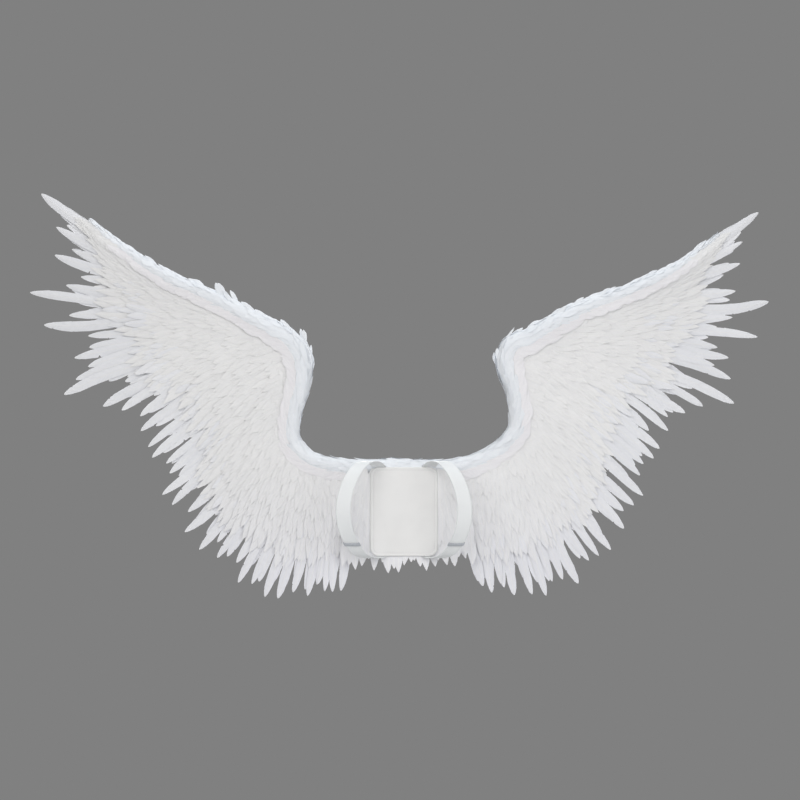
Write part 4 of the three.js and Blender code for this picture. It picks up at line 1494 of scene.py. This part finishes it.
def slider_piece(path, name):
    """A flat sleeve with round edges"""
    inner_width = STRAP_WIDTH + 2 * SLIDER_CLEARANCE
    inner_thick = STRAP_THICKNESS + 2 * SLIDER_CLEARANCE
    middle = np.array([path.length * SLIDER_PLACE])
    centre, along, across, away = path.frame_at(middle)
    turn = corners_round(SLIDER_STEPS)
    ring_across = np.sign(np.cos(turn)) * np.abs(np.cos(turn)) ** SLIDER_SQUARENESS
    ring_away = np.sign(np.sin(turn)) * np.abs(np.sin(turn)) ** SLIDER_SQUARENESS
    points = []
    for wall, lengthways in SLIDER_SECTION:
        grow = SLIDER_WALL / 2 * (1 + wall)
        x = (inner_width / 2 + grow) * ring_across
        z = (inner_thick / 2 + grow) * ring_away
        points.append(
            centre + across * x[:, None] + away * z[:, None] + along * (lengthways * SLIDER_LENGTH / 2)
        )
    points = np.stack(points, axis=1).reshape(-1, 3)
    sides = len(SLIDER_SECTION)
    ring = np.arange(SLIDER_STEPS)[:, None] * sides
    following = (ring + sides) % (SLIDER_STEPS * sides)
    side = np.arange(sides)[None, :]
    after = (side + 1) % sides
    quads = np.stack([ring + side, ring + after, following + after, following + side], axis=-1).reshape(-1, 4)
    piece = closed_object(f"{name}_slider_frame", points, [quads], np.zeros((len(points), 2)), 40)
    dress(piece, SLIDER, "slider_plastic", f"{name}_strap_slider")


# Plate

def plate_outline(inset, steps=10):
    """Rounded rectangle of the plate, this far inside its edge"""
    half_width = PLATE_WIDTH / 2 - PLATE_CORNER
    half_height = PLATE_HEIGHT / 2 - PLATE_CORNER
    radius = PLATE_CORNER - inset
    points = []
    for corner, (x, z) in enumerate(((1, 1), (-1, 1), (-1, -1), (1, -1))):
        for step in range(steps + 1):
            angle = (corner + step / steps) * math.pi / 2
            out = x * half_width + radius * math.cos(angle)
            up = z * half_height + radius * math.sin(angle)
            points.append((out, up))
    return np.array(points)


# Rings of the plate's cover from the front's middle out and round to the back: how far inside the edge,
# depth
PLATE_RINGS = [
    (0.022, 0.0),
    (0.016, 0.0001),
    (0.011, 0.0004),
    (0.0085, 0.0009),
    (0.0075, 0.0011),
    (0.0062, 0.0005),
    (0.004, 0.0001),
    (0.0015, 0.0006),
    (0.0, 0.0022),
    (0.0, 0.0042),
    (0.0015, 0.0055),
    (0.004, 0.006),
    (0.02, 0.006),
]

# Stitches of the plate's binding: how far inside the edge, spacing, half length, depth and radius
STITCH_INSET = 0.0092
STITCH_SPACING = 0.0062
STITCH_HALF = 0.0019
STITCH_DEPTH = 0.0006
STITCH_RADIUS = 0.0005
STITCH_SIDES = 6
STITCH_CORNER_STEPS = 24
STITCH_RINGS = [(0, 0.25), (0.12, 0.8), (0.5, 1.0), (0.88, 0.8), (1.0, 0.25)]


def plate_piece():
    """The cloth-covered board: a softly domed cover with a bound edge"""
    rings = []
    for inset, depth in PLATE_RINGS:
        ring = plate_outline(inset)
        rings.append(np.column_stack([ring[:, 0], np.full(len(ring), depth), ring[:, 1]]))
    points = np.concatenate(rings)
    faces = tube_faces(1, len(rings), len(rings[0]))
    piece = closed_object("plate_cover_cloth", points, faces, points[:, [0, 2]])
    dress(piece, COVER, "plate_cover", "back_plate")


def plate_stitches():
    """Running stitch of short raised capsules that holds the plate's binding down"""
    ring = plate_outline(STITCH_INSET, STITCH_CORNER_STEPS)
    closed = np.vstack([ring, ring[:1]])
    travel = way_along(closed)
    count = int(travel[-1] / STITCH_SPACING)
    places = (np.arange(count) + 0.5) / count * travel[-1]

    def at(travelled):
        x, z = (np.interp(travelled % travel[-1], travel, closed[:, axis]) for axis in (0, 1))
        return np.column_stack([x, np.full(len(x), STITCH_DEPTH), z])

    starts = at(places - STITCH_HALF)
    ends = at(places + STITCH_HALF)
    shares, sizes = np.array(STITCH_RINGS).T
    angle = corners_round(STITCH_SIDES)
    along = unit(ends - starts)
    side = unit(np.cross(along, [0.0, -1.0, 0.0]))
    upward = np.cross(side, along)
    middle = starts[:, None, :] + (ends - starts)[:, None, :] * shares[None, :, None]
    radius = sizes[:, None] * STITCH_RADIUS
    points = (
        middle[:, :, None, :]
        + side[:, None, None, :] * (np.cos(angle) * radius)[..., None]
        + upward[:, None, None, :] * (np.sin(angle) * radius)[..., None]
    ).reshape(-1, 3)
    faces = tube_faces(count, len(shares), STITCH_SIDES)
    piece = closed_object("plate_binding_stitches", points, faces, points[:, [0, 2]], 60)
    dress(piece, THREAD, "plate_cover")


# Floor, lights and camera

def floor_piece():
    """A plain round floor under the wings"""
    angle = corners_round(FLOOR_SIDES)
    x = np.cos(angle) * FLOOR_RADIUS
    y = np.sin(angle) * FLOOR_RADIUS
    heights = (FLOOR_LEVEL - FLOOR_THICKNESS, FLOOR_LEVEL)
    points = np.concatenate([np.column_stack([x, y, np.full(FLOOR_SIDES, height)]) for height in heights])
    piece = closed_object("floor", points, tube_faces(1, 2, FLOOR_SIDES), points[:, :2], 30)
    nodes = Nodes("floor_paint")
    mottle = nodes.noise(nodes.place(), scale=3.0, detail=4.0)
    nodes.shade("Base Color", nodes.mixed(mottle, colour(0.66, 0.66, 0.66), colour(0.70, 0.70, 0.70)))
    nodes.shader.inputs["Roughness"].default_value = 0.9
    piece.data.materials.append(nodes.material)


def area_light(name, place, target, size, power, tint):
    data = bpy.data.lights.new(name, "AREA")
    data.shape = "DISK"
    data.size = size
    data.energy = power
    data.color = tint
    light = bpy.data.objects.new(name, data)
    x, y, z = np.array(target) - np.array(place)
    light.location = place
    light.rotation_euler = (math.pi / 2 + math.atan2(z, math.hypot(x, y)), 0, -math.atan2(x, y))
    bpy.context.scene.collection.objects.link(light)


def backdrop():
    """Plain mid-grey surroundings"""
    world = bpy.data.worlds.new("studio")
    world.use_nodes = True
    world.node_tree.nodes["Background"].inputs["Color"].default_value = colour(*BACKDROP)
    world.node_tree.nodes["Background"].inputs["Strength"].default_value = 1.0
    bpy.context.scene.world = world


def camera():
    data = bpy.data.cameras.new("camera")
    data.sensor_fit = "HORIZONTAL"
    data.sensor_width = SENSOR_WIDTH
    data.lens = CAMERA_LENS
    data.clip_end = CAMERA_REACH
    eye = bpy.data.objects.new("camera", data)
    eye.location = CAMERA_PLACE
    eye.rotation_euler = (math.pi / 2, 0, 0)
    bpy.context.scene.collection.objects.link(eye)
    bpy.context.scene.camera = eye


def wing_pieces(wing):
    """The roll of a wing and all its rows of feathers"""
    edge = f"{wing.name}_leading_edge"
    core = closed_object(f"{wing.name}_roll_core", *roll_core(wing), sharp=60)
    dress(core, WADDING, "roll_feather", edge)
    cover = mesh_object(f"{wing.name}_roll_feathers", *roll_feathers(wing))
    dress(cover, CONTOUR, "roll_feather", edge)
    rng = random_for(INNER_SEED, wing)
    inner = joined([inner_feathers(wing, rng, facing) for facing in (-1, 1)])
    dress(mesh_object(f"{wing.name}_roll_inner_plumes", *inner), INNER, "roll_feather", edge)
    for row_index, row in enumerate(WING_ROWS):
        if row.kind in ("primary", "secondary", "tertial"):
            arrays = flight_row(wing, row_index, row)
            looks = (FLIGHT, "flight_feather")
        else:
            arrays = covert_row(wing, row_index, row)
            looks = (COVERT, "covert_feather")
        dress(mesh_object(f"{wing.name}_{row.name}_plumes", *arrays), *looks, f"{wing.name}_{row.name}")


camera()
backdrop()
for light in LIGHTS:
    area_light(*light)
floor_piece()
bpy.context.scene.view_settings.view_transform = "Standard"
for wing in (LEFT, RIGHT):
    wing_pieces(wing)
    strap = strap_piece(wing.side, wing.name)
    slider_piece(strap, wing.name)
for centre_index, centre in enumerate(CENTRE_ROWS):
    plumes = mesh_object(f"{centre.name}_plumes", *centre_row(centre_index, centre))
    dress(plumes, COVERT, "covert_feather", centre.name)
plate_piece()
plate_stitches()
